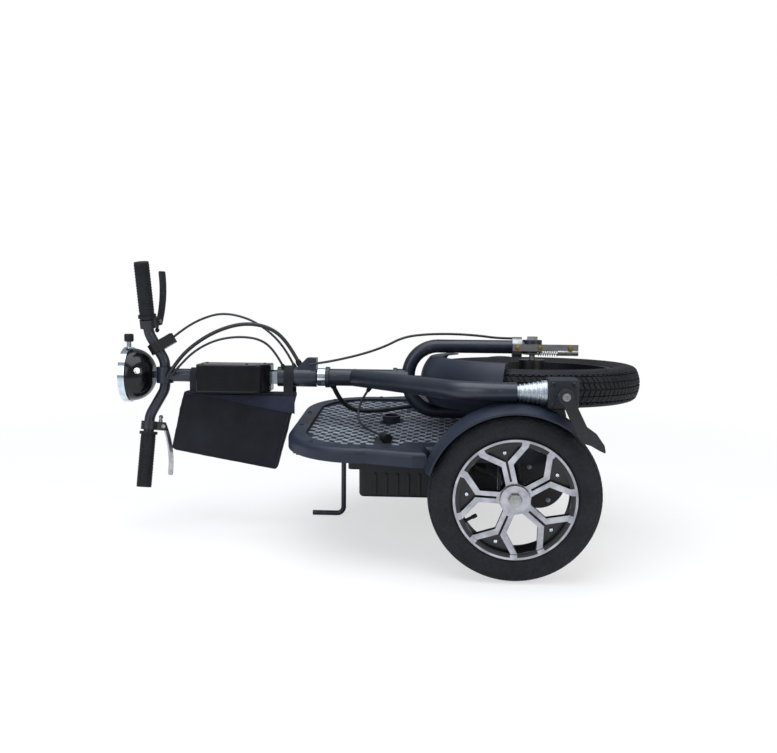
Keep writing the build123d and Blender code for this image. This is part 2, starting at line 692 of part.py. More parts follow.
def front_fender():
    """A crowned guard with side skirts, and the stay that hangs it from the fork's crown."""
    edge = GUARD_R - GUARD_CROWN
    foot = edge - GUARD_SKIRT
    inner = GUARD_HALF - GUARD_T
    guard = turned([
        Line((foot, -GUARD_HALF), (edge, -GUARD_HALF)),
        ThreePointArc((edge, -GUARD_HALF), (GUARD_R, 0), (edge, GUARD_HALF)),
        Polyline((edge, GUARD_HALF), (foot, GUARD_HALF), (foot, inner), (edge - GUARD_T, inner)),
        ThreePointArc((edge - GUARD_T, inner), (GUARD_R - GUARD_T, 0), (edge - GUARD_T, -inner)),
        Polyline((edge - GUARD_T, -inner), (foot, -inner), (foot, -GUARD_HALF)),
    ], GUARD_SWEEP)
    guard = Rot(90, 0, 0) * Rot(0, 0, GUARD_START) * guard
    half = GUARD_STAY / 2
    stay = block((-half, half), (-half, half), (GUARD_R - GUARD_T, CROWN_Z))
    crown = rod((0, -TRACK, CROWN_Z), (0, TRACK, CROWN_Z), LEG_R + SEAT)
    return guard + (stay - crown)


front["front_fender"] = front_fender()
front["front_tyre"] = UPRIGHT * tyre(FRONT_TYRE_R, FRONT_TYRE_W, FRONT_RIM_R)
front["front_rim"] = UPRIGHT * alloy_wheel(FRONT_RIM_R, FRONT_HUB_HALF, FRONT_AXLE_R + RUN)


def front_brake():
    """A clamp on the upper leg, a long arm on its near side and the cable's adjusting barrel below."""
    top = BRAKE_ARM_TOP + BRAKE_CLAMP_L
    clamp = tube((0, -LEG_Y, BRAKE_ARM_TOP), (0, -LEG_Y, top), BRAKE_CLAMP_R, LEG_R + SEAT)
    arm_x = (-BRAKE_CLAMP_R - BRAKE_ARM_T, -BRAKE_CLAMP_R + SEAT)
    arm_y = (-LEG_Y - BRAKE_ARM_W / 2, -LEG_Y + BRAKE_ARM_W / 2)
    arm = block(arm_x, arm_y, (BRAKE_ARM_LOW, top))
    barrel_x = -BRAKE_CLAMP_R - BRAKE_ARM_T / 2
    barrel_y = arm_y[1] + BARREL_R / 2
    barrel_foot = (barrel_x, barrel_y, BRAKE_ARM_LOW)
    barrel_top = (barrel_x, barrel_y, BRAKE_ARM_LOW + BARREL_L)
    return clamp + arm + rod(barrel_foot, barrel_top, BARREL_R)


front["front_brake"] = front_brake()
collar_low = HEAD_HIGH + CUP_H + REST
front["steering_nut"] = tube((0, 0, collar_low), (0, 0, collar_low + COLLAR_H), COLLAR_R, STEERER_R + SEAT)


def stem():
    """The clamp over the steerer with its cable guide, the stem tube and the bar clamp."""
    low = STEM_LOW
    body = rod((0, 0, low), (0, 0, CLAMP_TOP), CLAMP_R)
    fin = make_face(Polyline((0, low), (CLAMP_R + GUIDE_H, low), (CLAMP_R + GUIDE_H, low + GUIDE_H),
                             (CLAMP_R, low + 2 * GUIDE_H), (0, low + 2 * GUIDE_H), close=True))
    across = Plane(origin=(0, 0, 0), x_dir=(0, -1, 0), z_dir=(-1, 0, 0))
    body = body + extrude(across * fin, STEM_R, both=True)
    body = body + rod((0, 0, CLAMP_TOP), (0, 0, BAR_Z), STEM_R)
    half = BAR_CLAMP_W / 2
    body = body + rod((0, -half, BAR_Z), (0, half, BAR_Z), BAR_CLAMP_R)
    body = body + rod((0, 0, BAR_Z), (0, 0, LAMP_BACK), STEM_R / 2)
    return body - rod((0, -TRACK, BAR_Z), (0, TRACK, BAR_Z), BAR_R + SEAT)


front["stem"] = stem()


def console():
    """A closed box on the stem, one end well rounded, saddled onto the tube."""
    high = CONSOLE_LOW + CONSOLE_L
    near = -STEM_R - CONSOLE_D
    face = make_face(Polyline((near, CONSOLE_LOW), (near, high), (0, high), (0, CONSOLE_LOW), close=True))
    outer = face.vertices().group_by(Axis.X)[0].sort_by(Axis.Y)
    face = fillet(outer[0], CONSOLE_NOSE)
    outer = face.vertices().sort_by(Axis.Y)[-2:].sort_by(Axis.X)
    face = fillet(outer[0], CONSOLE_EDGE)
    box = extrude(Plane.XZ * face, CONSOLE_H / 2, both=True)
    box = fillet(box.edges().group_by(Axis.Y)[0] + box.edges().group_by(Axis.Y)[-1], CONSOLE_EDGE / 2)
    box = box - rod((0, 0, STEM_LOW), (0, 0, BAR_Z), STEM_R + SEAT)
    return box - rod((0, 0, STEM_LOW), (0, 0, CLAMP_TOP + SEAT), CLAMP_R + SEAT)


front["console"] = console()
BAR_END = {sign: Vector(BAR_SWEEP, sign * BAR_HALF, BAR_Z + BAR_RISE + BAR_TIP) for sign in (1, -1)}
BAR_BENT = {sign: Vector(0, sign * BAR_KINK, BAR_Z + BAR_RISE) for sign in (1, -1)}
bar_path = FilletPolyline(BAR_END[1], BAR_BENT[1], (0, BAR_STRAIGHT, BAR_Z), (0, -BAR_STRAIGHT, BAR_Z),
                          BAR_BENT[-1], BAR_END[-1], radius=BAR_BEND)
front["handlebar"] = swept(bar_path, BAR_R)


def on_bar(sign, inward):
    """The point on a grip's axis that far in from the bar's end, and the direction inwards."""
    inwards = (BAR_BENT[sign] - BAR_END[sign]).normalized()
    return BAR_END[sign] + inwards * inward, inwards


def grip(sign):
    """A ribbed rubber sleeve with a flange at its inner end and a closed outer end."""
    end, inwards = on_bar(sign, -GRIP_CAP)
    inner, _ = on_bar(sign, GRIP_L)
    lip, _ = on_bar(sign, GRIP_L - GRIP_FLANGE_T)
    start, _ = on_bar(sign, -SEAT)
    body = rod(end, inner, GRIP_R) + rod(lip, inner, GRIP_FLANGE_R)
    return body - rod(start, inner + inwards, BAR_R + SEAT)


def brake_lever(sign, turn):
    """A clamp on the bar, an arm out to the pivot, and a curved blade beside the grip."""
    middle, inwards = on_bar(sign, PERCH_IN)
    outwards = inwards * -1
    place = Plane(origin=middle, x_dir=(1, 0, 0), z_dir=outwards)
    half = PERCH_W / 2
    clamp = tube((0, 0, -half), (0, 0, half), PERCH_R, BAR_R + SEAT)
    arm = block((PERCH_R - PERCH_LAP, PERCH_OUT), (-BLADE_W / 2, BLADE_W / 2), (-half, half))
    lean = tan(radians(BLADE_OPEN))
    tip = PERCH_OUT + BLADE_L * lean
    mid = PERCH_OUT + BLADE_L / 2 * lean + BLADE_T
    edges = [
        ThreePointArc((PERCH_OUT - BLADE_T, -half), (mid - BLADE_T, BLADE_L / 2), (tip - BLADE_T, BLADE_L)),
        ThreePointArc((tip - BLADE_T, BLADE_L), (tip - BLADE_T / 2, BLADE_L + BLADE_T / 2), (tip, BLADE_L)),
        ThreePointArc((tip, BLADE_L), (mid, BLADE_L / 2), (PERCH_OUT, -half)),
        Line((PERCH_OUT, -half), (PERCH_OUT - BLADE_T, -half)),
    ]
    blade = extrude(Plane(origin=(0, 0, 0), x_dir=(1, 0, 0), z_dir=(0, -1, 0)) * make_face(edges),
                    BLADE_W / 2, both=True)
    return place.location * (Rot(0, 0, turn) * (clamp + arm + blade))


def control_pod(sign):
    """A rounded switch body clamped on the rising part of the bar, its thumb lever towards the stem."""
    foot = Vector(0, sign * BAR_STRAIGHT, BAR_Z)
    along = BAR_BENT[sign] - foot
    half = POD_L / 2
    ring = rod((0, 0, -half), (0, 0, half), POD_R)
    body = ring + block((-POD_W / 2, POD_W / 2), (-POD_REACH, 0), (-half, half))
    body = fillet(body.edges().filter_by(Axis.Z), POD_EDGE)
    body = body - rod((0, 0, -POD_L), (0, 0, POD_L), BAR_R + SEAT)
    place = Plane(origin=foot + along * POD_PLACE, x_dir=(1, 0, 0), z_dir=along)
    return place.location * body


front["grip_left"] = grip(1)
front["grip_right"] = grip(-1)
front["brake_lever_left"] = brake_lever(1, LEFT_TURN)
front["brake_lever_right"] = brake_lever(-1, RIGHT_TURN)
front["control_pod"] = control_pod(-1)


def lamp_bowl():
    """A round bowl on the bar clamp's boss."""
    front_z = LAMP_BACK + LAMP_DEPTH
    bulge = ((LAMP_R + LAMP_BACK_R) / 2 + LAMP_SWELL, LAMP_BACK + LAMP_DEPTH * LAMP_SWELL_AT)
    return turned([
        Line((0, LAMP_BACK), (LAMP_BACK_R, LAMP_BACK)),
        ThreePointArc((LAMP_BACK_R, LAMP_BACK), bulge, (LAMP_R, front_z)),
        Polyline((LAMP_R, front_z), (0, front_z), (0, LAMP_BACK)),
    ])


ring_low = LAMP_BACK + LAMP_DEPTH
lens_r = LAMP_R - LAMP_WALL
lamp_ring = tube((0, 0, ring_low), (0, 0, ring_low + RING_T), RING_R, lens_r + SEAT)
stub_z = ring_low + RING_T / 2
lamp_ring = lamp_ring + rod((0, -RING_R + LAMP_WALL, stub_z), (0, -RING_R - STUB_L, stub_z), STUB_R)
knob_low = -RING_R - STUB_L
knob = rod((0, knob_low, stub_z), (0, knob_low - KNOB_L, stub_z), KNOB_R)
front["lamp"] = lamp_bowl()
front["lamp_ring"] = lamp_ring
front["lamp_knob"] = fillet(knob.edges(), KNOB_EDGE)
lens_rim = ring_low + RING_T
dome_r = (lens_r**2 + LENS_DOME**2) / (2 * LENS_DOME)
lens = rod((0, 0, ring_low + SEAT), (0, 0, lens_rim + LENS_DOME), lens_r)
front["lamp_lens"] = lens & (Pos(0, 0, lens_rim + LENS_DOME - dome_r) * Sphere(dome_r))


def carry_bag():
    """The soft bag as one closed solid, hung under the stem."""
    top = CONSOLE_H / 2 + REST
    face = make_face(Polyline(*[(top + down, along) for along, down in BAG], close=True))
    face = fillet(face.vertices(), BAG_EDGE)
    across = Plane(origin=(BAG_X, 0, 0), x_dir=(0, 1, 0), z_dir=(1, 0, 0))
    bag = extrude(across * face, BAG_T / 2, both=True)
    return fillet(bag.edges().group_by(Axis.X)[0] + bag.edges().group_by(Axis.X)[-1], BAG_EDGE)


front["carry_bag"] = carry_bag()
bar_cables = []
for name, (radius, points) in BAR_ROUTES.items():
    path, radii = route(points)
    bar_cables.append(swept(path, radius))
    print(name, "length", round(path.length), "radii", [round(value) for value in radii])
deck_cables = []
glands = []
for name, (radius, side, stops) in DECK_ROUTES.items():
    leave = LEAVE_Y[name]
    across = side * (DECK_HALF - GLAND_IN[name]) - leave
    path, radii = route([(x, leave + share * across, z) for x, share, z in stops])
    deck_cables.append(swept(path, radius))
    mouth = path @ 1
    seat = Vector(mouth.X, mouth.Y, MAT_TOP + GLAND_R)
    inwards = path % 1
    inwards = Vector(inwards.X, inwards.Y, 0).normalized()
    gland = rod(seat + inwards * REST * 2, seat + inwards * GLAND_L, GLAND_R)
    glands.append(gland)
    print(name, "length", round(path.length), "radii", [round(value) for value in radii])

for name, solid in front.items():
    parts[name] = LAY * solid
parts["bar_cables"] = Compound(children=[LAY * cable for cable in bar_cables])
parts["harness_cables"] = Compound(children=deck_cables)
parts["deck_glands"] = Compound(children=glands)

# The origin goes to the middle of the whole trike's footprint, on the ground
box = Compound(children=[Compound(solid.solids()) for solid in parts.values()]).bounding_box()
shift = Pos(-(box.min.X + box.max.X) / 2, -(box.min.Y + box.max.Y) / 2, -box.min.Z)
print("origin shift", [round(value, 3) for value in shift.position])
print("size", [round(value, 2) for value in box.size])
for name, solid in parts.items():
    placed = shift * Compound(solid.solids())
    export_step(placed, f"parts/{name}.step")
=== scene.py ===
# %% [markdown]
# # An electric trike, packed for transport
#
# The front section of this trike is unclamped and laid on its side on the deck. The lesson dresses
# the solid model. It gives every surface its material, and it adds what a solid model leaves out,
# such as tread, cables, cloth, stitching and screws. Tables are in millimetres, the scene is in metres.

# %% Load the frame
import json
from collections import namedtuple
from math import asin, atan2, copysign, cos, pi, radians, sin, tau

import bmesh
import bpy
from mathutils import Matrix, Vector
from mathutils.bvhtree import BVHTree
from mathutils.noise import noise as field

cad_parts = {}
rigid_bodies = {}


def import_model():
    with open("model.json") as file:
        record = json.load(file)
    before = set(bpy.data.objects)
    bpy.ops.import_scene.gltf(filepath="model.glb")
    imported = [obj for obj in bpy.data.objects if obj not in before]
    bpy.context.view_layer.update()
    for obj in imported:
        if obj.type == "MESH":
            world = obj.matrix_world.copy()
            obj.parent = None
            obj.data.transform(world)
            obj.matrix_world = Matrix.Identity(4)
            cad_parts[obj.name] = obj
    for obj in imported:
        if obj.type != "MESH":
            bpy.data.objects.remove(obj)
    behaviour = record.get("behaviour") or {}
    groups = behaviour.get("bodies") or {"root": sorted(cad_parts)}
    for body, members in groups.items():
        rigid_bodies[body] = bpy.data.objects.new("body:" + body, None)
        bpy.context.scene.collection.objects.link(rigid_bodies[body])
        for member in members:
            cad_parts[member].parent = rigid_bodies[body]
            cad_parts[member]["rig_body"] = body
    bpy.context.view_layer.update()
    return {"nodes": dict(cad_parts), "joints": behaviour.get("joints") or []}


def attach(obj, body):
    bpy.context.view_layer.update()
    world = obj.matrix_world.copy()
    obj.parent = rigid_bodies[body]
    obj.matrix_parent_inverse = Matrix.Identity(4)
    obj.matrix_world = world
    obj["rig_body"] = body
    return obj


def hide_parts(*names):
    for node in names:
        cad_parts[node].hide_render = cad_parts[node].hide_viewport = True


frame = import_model()
nodes = frame["nodes"]
joints = {joint["name"]: joint for joint in frame["joints"]}
MM = 0.001
print("Solid nodes:", len(nodes), "joints:", len(joints))

# %% [markdown]
# ## Places
# The front section lies on its side, so its pieces are hard to place by the scene's own axes. The joints
# say where the axles are and which way they point, so every added piece is measured from them. A matrix
# carries points from the front section's own axes, or from a wheel's, into the scene.


# %% Places from the joints
def axes(ahead, leftward, upward, origin):
    """The matrix of a set of axes at a place."""
    turn = Matrix((ahead, leftward, upward)).transposed()
    return Matrix.Translation(origin) @ turn.to_4x4()


rear_left = Vector(joints["rear_wheel_left_spin"]["pos_m"])
rear_right = Vector(joints["rear_wheel_right_spin"]["pos_m"])
rear_axle = (rear_left + rear_right) / 2
front_axle = Vector(joints["front_wheel_spin"]["pos_m"])
steering_up = Vector(joints["steering_turn"]["axis"])
front_left = Vector(joints["front_wheel_spin"]["axis"])
FRONT = axes(front_left.cross(steering_up), front_left, steering_up, front_axle)
DECK = Matrix.Translation((rear_axle.x, rear_axle.y, 0))
UPRIGHT = Matrix.Rotation(-pi / 2, 4, "X")
WHEEL_LEFT = Matrix.Translation(rear_left) @ UPRIGHT
WHEEL_RIGHT = Matrix.Translation(rear_right) @ Matrix.Rotation(pi, 4, "Z") @ UPRIGHT
WHEEL_FRONT = FRONT @ UPRIGHT


def front(x, y, z):
    """A point of the front section: ahead, left and up the steering from its axle, in mm."""
    return FRONT @ (Vector((x, y, z)) * MM)


def deck(x, y, z):
    """A point ahead of the rear axle, left of its middle and above the ground, in mm."""
    return DECK @ (Vector((x, y, z)) * MM)


print("Rear axle at", rear_axle, "and front axle at", front_axle)


# %% [markdown]
# ## Node helpers
# A material is a tree of nodes, and so is a Geometry Nodes group. It could be clicked together by hand,
# but a script can be read and run again. One function adds a node with its settings and links. Colours
# are written as sRGB codes, which one function turns to linear, and pattern sizes as millimetres.


# %% Node helpers
def wire(tree, made, inputs):
    """Set or join a node's inputs. A node that is given is joined by its first output in use."""
    for key, value in inputs.items():
        if isinstance(value, bpy.types.Node):
            value = next(output for output in value.outputs if output.enabled)
        if isinstance(value, bpy.types.NodeSocket):
            tree.links.new(value, made.inputs[key])
        else:
            made.inputs[key].default_value = value


def linear(code):
    """An sRGB colour code as linear red, green, blue and alpha."""
    shares = [int(code[start:start + 2], 16) / 255 for start in (1, 3, 5)]
    return [s / 12.92 if s <= 0.04045 else ((s + 0.055) / 1.055) ** 2.4 for s in shares] + [1.0]


def node(tree, kind, inputs=None, stops=(), **fields):
    """Add a node with its fields, its inputs and, for a ramp, its (position, colour code) stops."""
    made = tree.nodes.new(kind)
    for setting, value in fields.items():
        setattr(made, setting, value)
    if stops:
        for element, (position, code) in zip(made.color_ramp.elements, stops):
            element.position = position
            element.color = linear(code)
    wire(tree, made, inputs or {})
    return made


def patches(size):
    """The scale of a noise with patches of that many millimetres."""
    return 1 / (size * MM)


def ridges(pitch):
    """The scale of a wave with that pitch in millimetres."""
    return tau / (20 * pitch * MM)


def begin(name, rough, metallic=0.0, shine=0.5):
    """A new material: its tree, its shader and the object's own coordinates."""
    made = bpy.data.materials.new(name)
    made.use_nodes = True
    tree = made.node_tree
    shader = tree.nodes["Principled BSDF"]
    wire(tree, shader, {"Roughness": rough, "Metallic": metallic, "Specular IOR Level": shine})
    place = node(tree, "ShaderNodeTexCoord").outputs["Object"]
    return made, tree, shader, place


# %% [markdown]
# ## Plastics, paint and rubber
# The deck, fenders and housings are moulded plastic, the tubes are powder coated steel, and the tyres,
# grips and mat are rubber. Nearly all of it is black or dark blue, so it is told apart by gloss and
# grain. Flat colours would do from far away, but up close noise at real size gives each its own skin.


# %% Plastics, paint and rubber
def moulded_plastic(name, dark, light, rough, grain, depth):
    """Injection moulded plastic. A fine leather grain breaks its gloss, and handling polishes patches."""
    made, tree, shader, place = begin(name, rough, shine=0.34)
    drift = node(tree, "ShaderNodeTexNoise", {"Vector": place, "Scale": patches(70), "Detail": 3})
    rub = node(tree, "ShaderNodeTexNoise", {"Vector": place, "Scale": patches(24), "Detail": 3})
    skin = node(tree, "ShaderNodeTexNoise", {"Vector": place, "Scale": patches(grain), "Detail": 1})
    colour = node(tree, "ShaderNodeValToRGB", {"Fac": drift}, [(0.3, dark), (0.7, light)])
    dull = node(tree, "ShaderNodeMapRange", {"Value": rub, "To Min": rough - 0.08, "To Max": rough + 0.1})
    bump = node(tree, "ShaderNodeBump", {"Height": skin, "Distance": depth * MM})
    wire(tree, shader, {"Base Color": colour, "Roughness": dull, "Normal": bump})
    return made


def powder_coat(name, base, worn, rough):
    """Powder coated steel. It has a faint orange peel, and pale scuffs run along the tubes."""
    made, tree, shader, place = begin(name, rough)
    drawn = node(tree, "ShaderNodeMapping", {"Vector": place, "Scale": (0.12, 1.0, 1.0)})
    scuff = node(tree, "ShaderNodeTexNoise", {"Vector": drawn, "Scale": patches(2.2), "Detail": 4})
    where = node(tree, "ShaderNodeTexNoise", {"Vector": place, "Scale": patches(60), "Detail": 3})
    lines = node(tree, "ShaderNodeMapRange", {"Value": scuff, "From Min": 0.66, "From Max": 0.74})
    area = node(tree, "ShaderNodeMapRange", {"Value": where, "From Min": 0.5, "From Max": 0.65})
    mask = node(tree, "ShaderNodeMath", {0: lines, 1: area}, operation="MULTIPLY")
    tone = node(tree, "ShaderNodeTexNoise", {"Vector": place, "Scale": patches(45), "Detail": 3})
    drift = node(tree, "ShaderNodeValToRGB", {"Fac": tone}, [(0.3, base[0]), (0.7, base[1])])
    colour = node(tree, "ShaderNodeMix", data_type="RGBA")
    wire(tree, colour, {"Factor": mask, "A": drift, "B": linear(worn)})
    dull = node(tree, "ShaderNodeMapRange", {"Value": where, "To Min": rough - 0.07, "To Max": rough + 0.1})
    peel = node(tree, "ShaderNodeTexNoise", {"Vector": place, "Scale": patches(1.8), "Detail": 2})
    bump = node(tree, "ShaderNodeBump", {"Height": peel, "Distance": 0.03 * MM})
    wire(tree, shader, {"Base Color": colour, "Roughness": dull, "Normal": bump})
    return made


def soft_rubber(name, dark, dusty, rough, grain):
    """Moulded rubber. It drinks the light, and grey dust lies on it in soft patches."""
    made, tree, shader, place = begin(name, rough, shine=0.28)
    broad = node(tree, "ShaderNodeTexNoise", {"Vector": place, "Scale": patches(38), "Detail": 3})
    fine = node(tree, "ShaderNodeTexNoise", {"Vector": place, "Scale": patches(5), "Detail": 5})
    dust = node(tree, "ShaderNodeMath", {0: broad, 1: fine}, operation="MULTIPLY")
    colour = node(tree, "ShaderNodeValToRGB", {"Fac": dust}, [(0.16, dark), (0.4, dusty)])
    dull = node(tree, "ShaderNodeMapRange", {"Value": dust, "To Min": rough - 0.1, "To Max": rough + 0.15})
    skin = node(tree, "ShaderNodeTexNoise", {"Vector": place, "Scale": patches(grain), "Detail": 2})
    bump = node(tree, "ShaderNodeBump", {"Height": skin, "Distance": 0.05 * MM})
    wire(tree, shader, {"Base Color": colour, "Roughness": dull, "Normal": bump})
    return made


deck_plastic = moulded_plastic("moulded_deck_plastic", "#171d2a", "#202838", 0.44, 0.9, 0.04)
case_plastic = moulded_plastic("battery_case_plastic", "#060709", "#0c0e12", 0.5, 1.1, 0.06)
gloss_plastic = moulded_plastic("gloss_housing_plastic", "#08080a", "#0e0e11", 0.16, 14.0, 0.02)
block_plastic = moulded_plastic("coupling_block_plastic", "#15171f", "#1f222c", 0.55, 0.7, 0.08)
frame_paint = powder_coat("powder_coated_frame", ("#131823", "#1e2532"), "#6d737c", 0.33)
motor_paint = powder_coat("painted_motor_casting", ("#101113", "#1b1c1f"), "#4c4d50", 0.55)
lever_paint = powder_coat("painted_lever_alloy", ("#0f1014", "#181a1f"), "#777b80", 0.42)
tyre_rubber = soft_rubber("tyre_rubber", "#0a0c10", "#1b1e25", 0.72, 0.6)
grip_rubber = soft_rubber("grip_rubber", "#0b0c0f", "#1a1c21", 0.66, 0.8)
mat_base = soft_rubber("mat_rubber_base", "#14161b", "#2a2d34", 0.8, 0.7)
# The studs are the mat's own black rubber, painted pale grey as a painted highlight of their lit tops.
mat_stud_painted_highlight = soft_rubber("mat_studs_painted_highlight", "#6b717b", "#959ba3", 0.75, 0.5)
print("Plastics, paints and rubbers:", len(bpy.data.materials))

# %% [markdown]
# ## Metals and glass
# The lamp ring and nuts are chromed, the coupling is cast alloy, and the wheel faces are turned on a
# lathe. Metal is mostly what it mirrors, so its colour matters less than how its roughness varies.
# Smudges, pits and lathe rings are therefore patterns in the roughness, with very little relief.


# %% Metals and glass
def plated_metal(name, base, smudge, rough):
    """Plated metal. It is a bright mirror that finger smudges dull a little."""
    made, tree, shader, place = begin(name, rough, 1.0)
    patch = node(tree, "ShaderNodeTexNoise", {"Vector": place, "Scale": patches(16), "Detail": 4})
    colour = node(tree, "ShaderNodeValToRGB", {"Fac": patch}, [(0.35, base), (0.75, smudge)])
    dull = node(tree, "ShaderNodeMapRange", {"Value": patch, "To Min": rough * 0.6, "To Max": rough * 1.8})
    skin = node(tree, "ShaderNodeTexNoise", {"Vector": place, "Scale": patches(6), "Detail": 3})
    bump = node(tree, "ShaderNodeBump", {"Height": skin, "Distance": 0.01 * MM})
    wire(tree, shader, {"Base Color": colour, "Roughness": dull, "Normal": bump})
    return made


def cast_metal(name, base, shadow, rough):
    """Sand cast alloy. Its pebbled skin scatters the light into a soft grey."""
    made, tree, shader, place = begin(name, rough, 1.0)
    pits = node(tree, "ShaderNodeTexNoise", {"Vector": place, "Scale": patches(1.1), "Detail": 2})
    worn = node(tree, "ShaderNodeTexNoise", {"Vector": place, "Scale": patches(18), "Detail": 3})
    colour = node(tree, "ShaderNodeValToRGB", {"Fac": pits}, [(0.3, shadow), (0.6, base)])
    dull = node(tree, "ShaderNodeMapRange", {"Value": worn, "To Min": rough - 0.1, "To Max": rough + 0.12})
    bump = node(tree, "ShaderNodeBump", {"Height": pits, "Distance": 0.07 * MM})
    wire(tree, shader, {"Base Color": colour, "Roughness": dull, "Normal": bump})
    return made


def turned_alloy(name, wheel):
    """A machined wheel face. Lathe rings about the axle draw its highlights out, under a clear coat."""
    made, tree, shader, place = begin(name, 0.3, 1.0)
    spot = wheel.inverted()
    local = node(tree, "ShaderNodeMapping", {"Vector": place, "Location": spot.translation,
                                             "Rotation": spot.to_euler()})
    # Real lathe rings are finer. They are drawn as coarse as they need to be to show.
    wave = node(tree, "ShaderNodeTexWave", {"Vector": local, "Scale": ridges(0.7)},
                wave_type="RINGS", rings_direction="Z")
    rings = wave.outputs["Fac"]
    stain = node(tree, "ShaderNodeTexNoise", {"Vector": place, "Scale": patches(22), "Detail": 4})
    colour = node(tree, "ShaderNodeValToRGB", {"Fac": stain}, [(0.3, "#8b8c93"), (0.65, "#b4b5ba")])
    dull = node(tree, "ShaderNodeMapRange", {"Value": rings, "To Min": 0.24, "To Max": 0.4})
    bump = node(tree, "ShaderNodeBump", {"Height": rings, "Distance": 0.012 * MM})
    wire(tree, shader, {"Base Color": colour, "Roughness": dull, "Normal": bump, "Coat Weight": 0.25})
    return made


def clear_glass():
    """The lamp's moulded lens. It is clear, and its upright flutes bend what lies behind."""
    made, tree, shader, place = begin("fluted_lamp_glass", 0.04)
    wave = node(tree, "ShaderNodeTexWave", {"Vector": place, "Scale": ridges(5)},
                wave_type="BANDS", bands_direction="Y")
    bump = node(tree, "ShaderNodeBump", {"Height": wave.outputs["Fac"], "Distance": 0.25 * MM})
    wire(tree, shader, {"Base Color": linear("#e8eef2"), "Transmission Weight": 0.9, "IOR": 1.49})
    wire(tree, shader, {"Normal": bump})
    return made


chrome = plated_metal("polished_chrome", "#d6e2e8", "#aeb9c0", 0.12)
bare_steel = plated_metal("zinc_plated_steel", "#a2a4a6", "#7d7a70", 0.3)
brushed_alloy = plated_metal("brushed_lever_alloy", "#b6bac0", "#8b9096", 0.26)
cast_alloy = cast_metal("cast_coupling_alloy", "#c4ccd3", "#98a2aa", 0.42)
brass = plated_metal("dull_brass_fittings", "#a98c55", "#6d5a38", 0.34)
reflector = plated_metal("lamp_reflector", "#e4e8ea", "#c6cbce", 0.1)
lamp_glass = clear_glass()
rear_alloy = turned_alloy("turned_rear_wheel_face", WHEEL_LEFT)
front_alloy = turned_alloy("turned_front_wheel_face", WHEEL_FRONT)
wheel_paint = powder_coat("painted_wheel_pockets", ("#050507", "#0b0b0e"), "#2c2c30", 0.34)
print("Materials with the metals and the glass:", len(bpy.data.materials))

# %% [markdown]
# ## Cloth and cable sleeves
# The bag is coated woven nylon with webbing straps, and the cables have smooth plastic jackets. A weave
# could be modelled thread by thread, but two crossed waves in the relief look the same at this size.


# %% Cloth and cable sleeves
def woven_fabric(name, dark, light, pitch):
    """Coated woven nylon. Crossed threads, slow fading and a little sheen make it look soft."""
    made, tree, shader, place = begin(name, 0.78, shine=0.24)
    # Real threads are about half as wide. They are drawn as coarse as they need to be to show.
    threads = [node(tree, "ShaderNodeTexWave", {"Vector": place, "Scale": ridges(pitch)},
                    wave_type="BANDS", bands_direction=way).outputs["Fac"] for way in ("X", "Z")]
    weave = node(tree, "ShaderNodeMath", {0: threads[0], 1: threads[1]}, operation="MAXIMUM")
    fade = node(tree, "ShaderNodeTexNoise", {"Vector": place, "Scale": patches(55), "Detail": 4})
    # Between the threads the cloth is painted up to a quarter darker, a painted shade. The fade is a slow
    # random tone.
    depth = node(tree, "ShaderNodeMapRange", {"Value": weave, "To Min": 0.75, "To Max": 1.0})
    fade_and_thread_shade = node(tree, "ShaderNodeMath", {0: depth, 1: fade}, operation="MULTIPLY")
    colour = node(tree, "ShaderNodeValToRGB", {"Fac": fade_and_thread_shade}, [(0.25, dark), (0.65, light)])
    bump = node(tree, "ShaderNodeBump", {"Height": weave, "Distance": 0.12 * MM})
    wire(tree, shader, {"Base Color": colour, "Normal": bump, "Sheen Weight": 0.08, "Sheen Roughness": 0.5})
    return made


def cable_jacket():
    """Black extruded PVC. It is slightly glossy, with a faint drawn grain."""
    made, tree, shader, place = begin("cable_jacket_pvc", 0.42)
    drift = node(tree, "ShaderNodeTexNoise", {"Vector": place, "Scale": patches(9), "Detail": 3})
    colour = node(tree, "ShaderNodeValToRGB", {"Fac": drift}, [(0.3, "#0d0e11"), (0.7, "#191b20")])
    dull = node(tree, "ShaderNodeMapRange", {"Value": drift, "To Min": 0.34, "To Max": 0.52})
    skin = node(tree, "ShaderNodeTexNoise", {"Vector": place, "Scale": patches(1.5), "Detail": 3})
    bump = node(tree, "ShaderNodeBump", {"Height": skin, "Distance": 0.02 * MM})
    wire(tree, shader, {"Base Color": colour, "Roughness": dull, "Normal": bump})
    return made


bag_cloth = woven_fabric("bag_nylon", "#080a0f", "#151821", 1.1)
# The flap is the bag's own black nylon, painted lighter and bluer as a painted sheen.
flap_cloth_painted_sheen = woven_fabric("bag_flap_nylon_painted_sheen", "#141726", "#262b3d", 1.1)
webbing = woven_fabric("strap_webbing", "#0d0e11", "#202229", 2.2)
jacket = cable_jacket()
print("All materials of the trike:", len(bpy.data.materials))

# %% [markdown]
# ## Dressing the solid nodes
# Deck, tubes, fenders and housings already have the real shape as solids. They could be modelled again
# with finer edges, but that would add nothing to see, so they only get their material.

# %% Materials for the nodes that stay
FINISHES = {
    deck_plastic: ["deck_shell", "fender_left", "fender_right", "front_fender"],
    mat_base: ["deck_mat"],
    frame_paint: ["under_frame", "front_socket", "seat_socket", "axle_tube", "neck_tube", "head_tube", "fork",
                  "stem", "prop_stand", "stand_bracket", "handlebar", "headset"],
    case_plastic: ["battery_box", "control_pod", "deck_glands", "lamp_knob"],
    motor_paint: ["drive_motor"],
    bare_steel: ["rear_shaft_left", "rear_shaft_right", "front_axle", "front_brake"],
    chrome: ["steering_nut", "lamp_ring"],
    cast_alloy: ["coupling_cone"],
    block_plastic: ["coupling_block"],
    gloss_plastic: ["console"],
    grip_rubber: ["grip_left", "grip_right"],
    lever_paint: ["brake_lever_right", "release_lever"],
    lamp_glass: ["lamp_lens"],
}
for finish, names in FINISHES.items():
    for name in names:
        nodes[name].data.materials.clear()
        nodes[name].data.materials.append(finish)
print("Nodes that keep their shape:", sum(len(names) for names in FINISHES.values()))

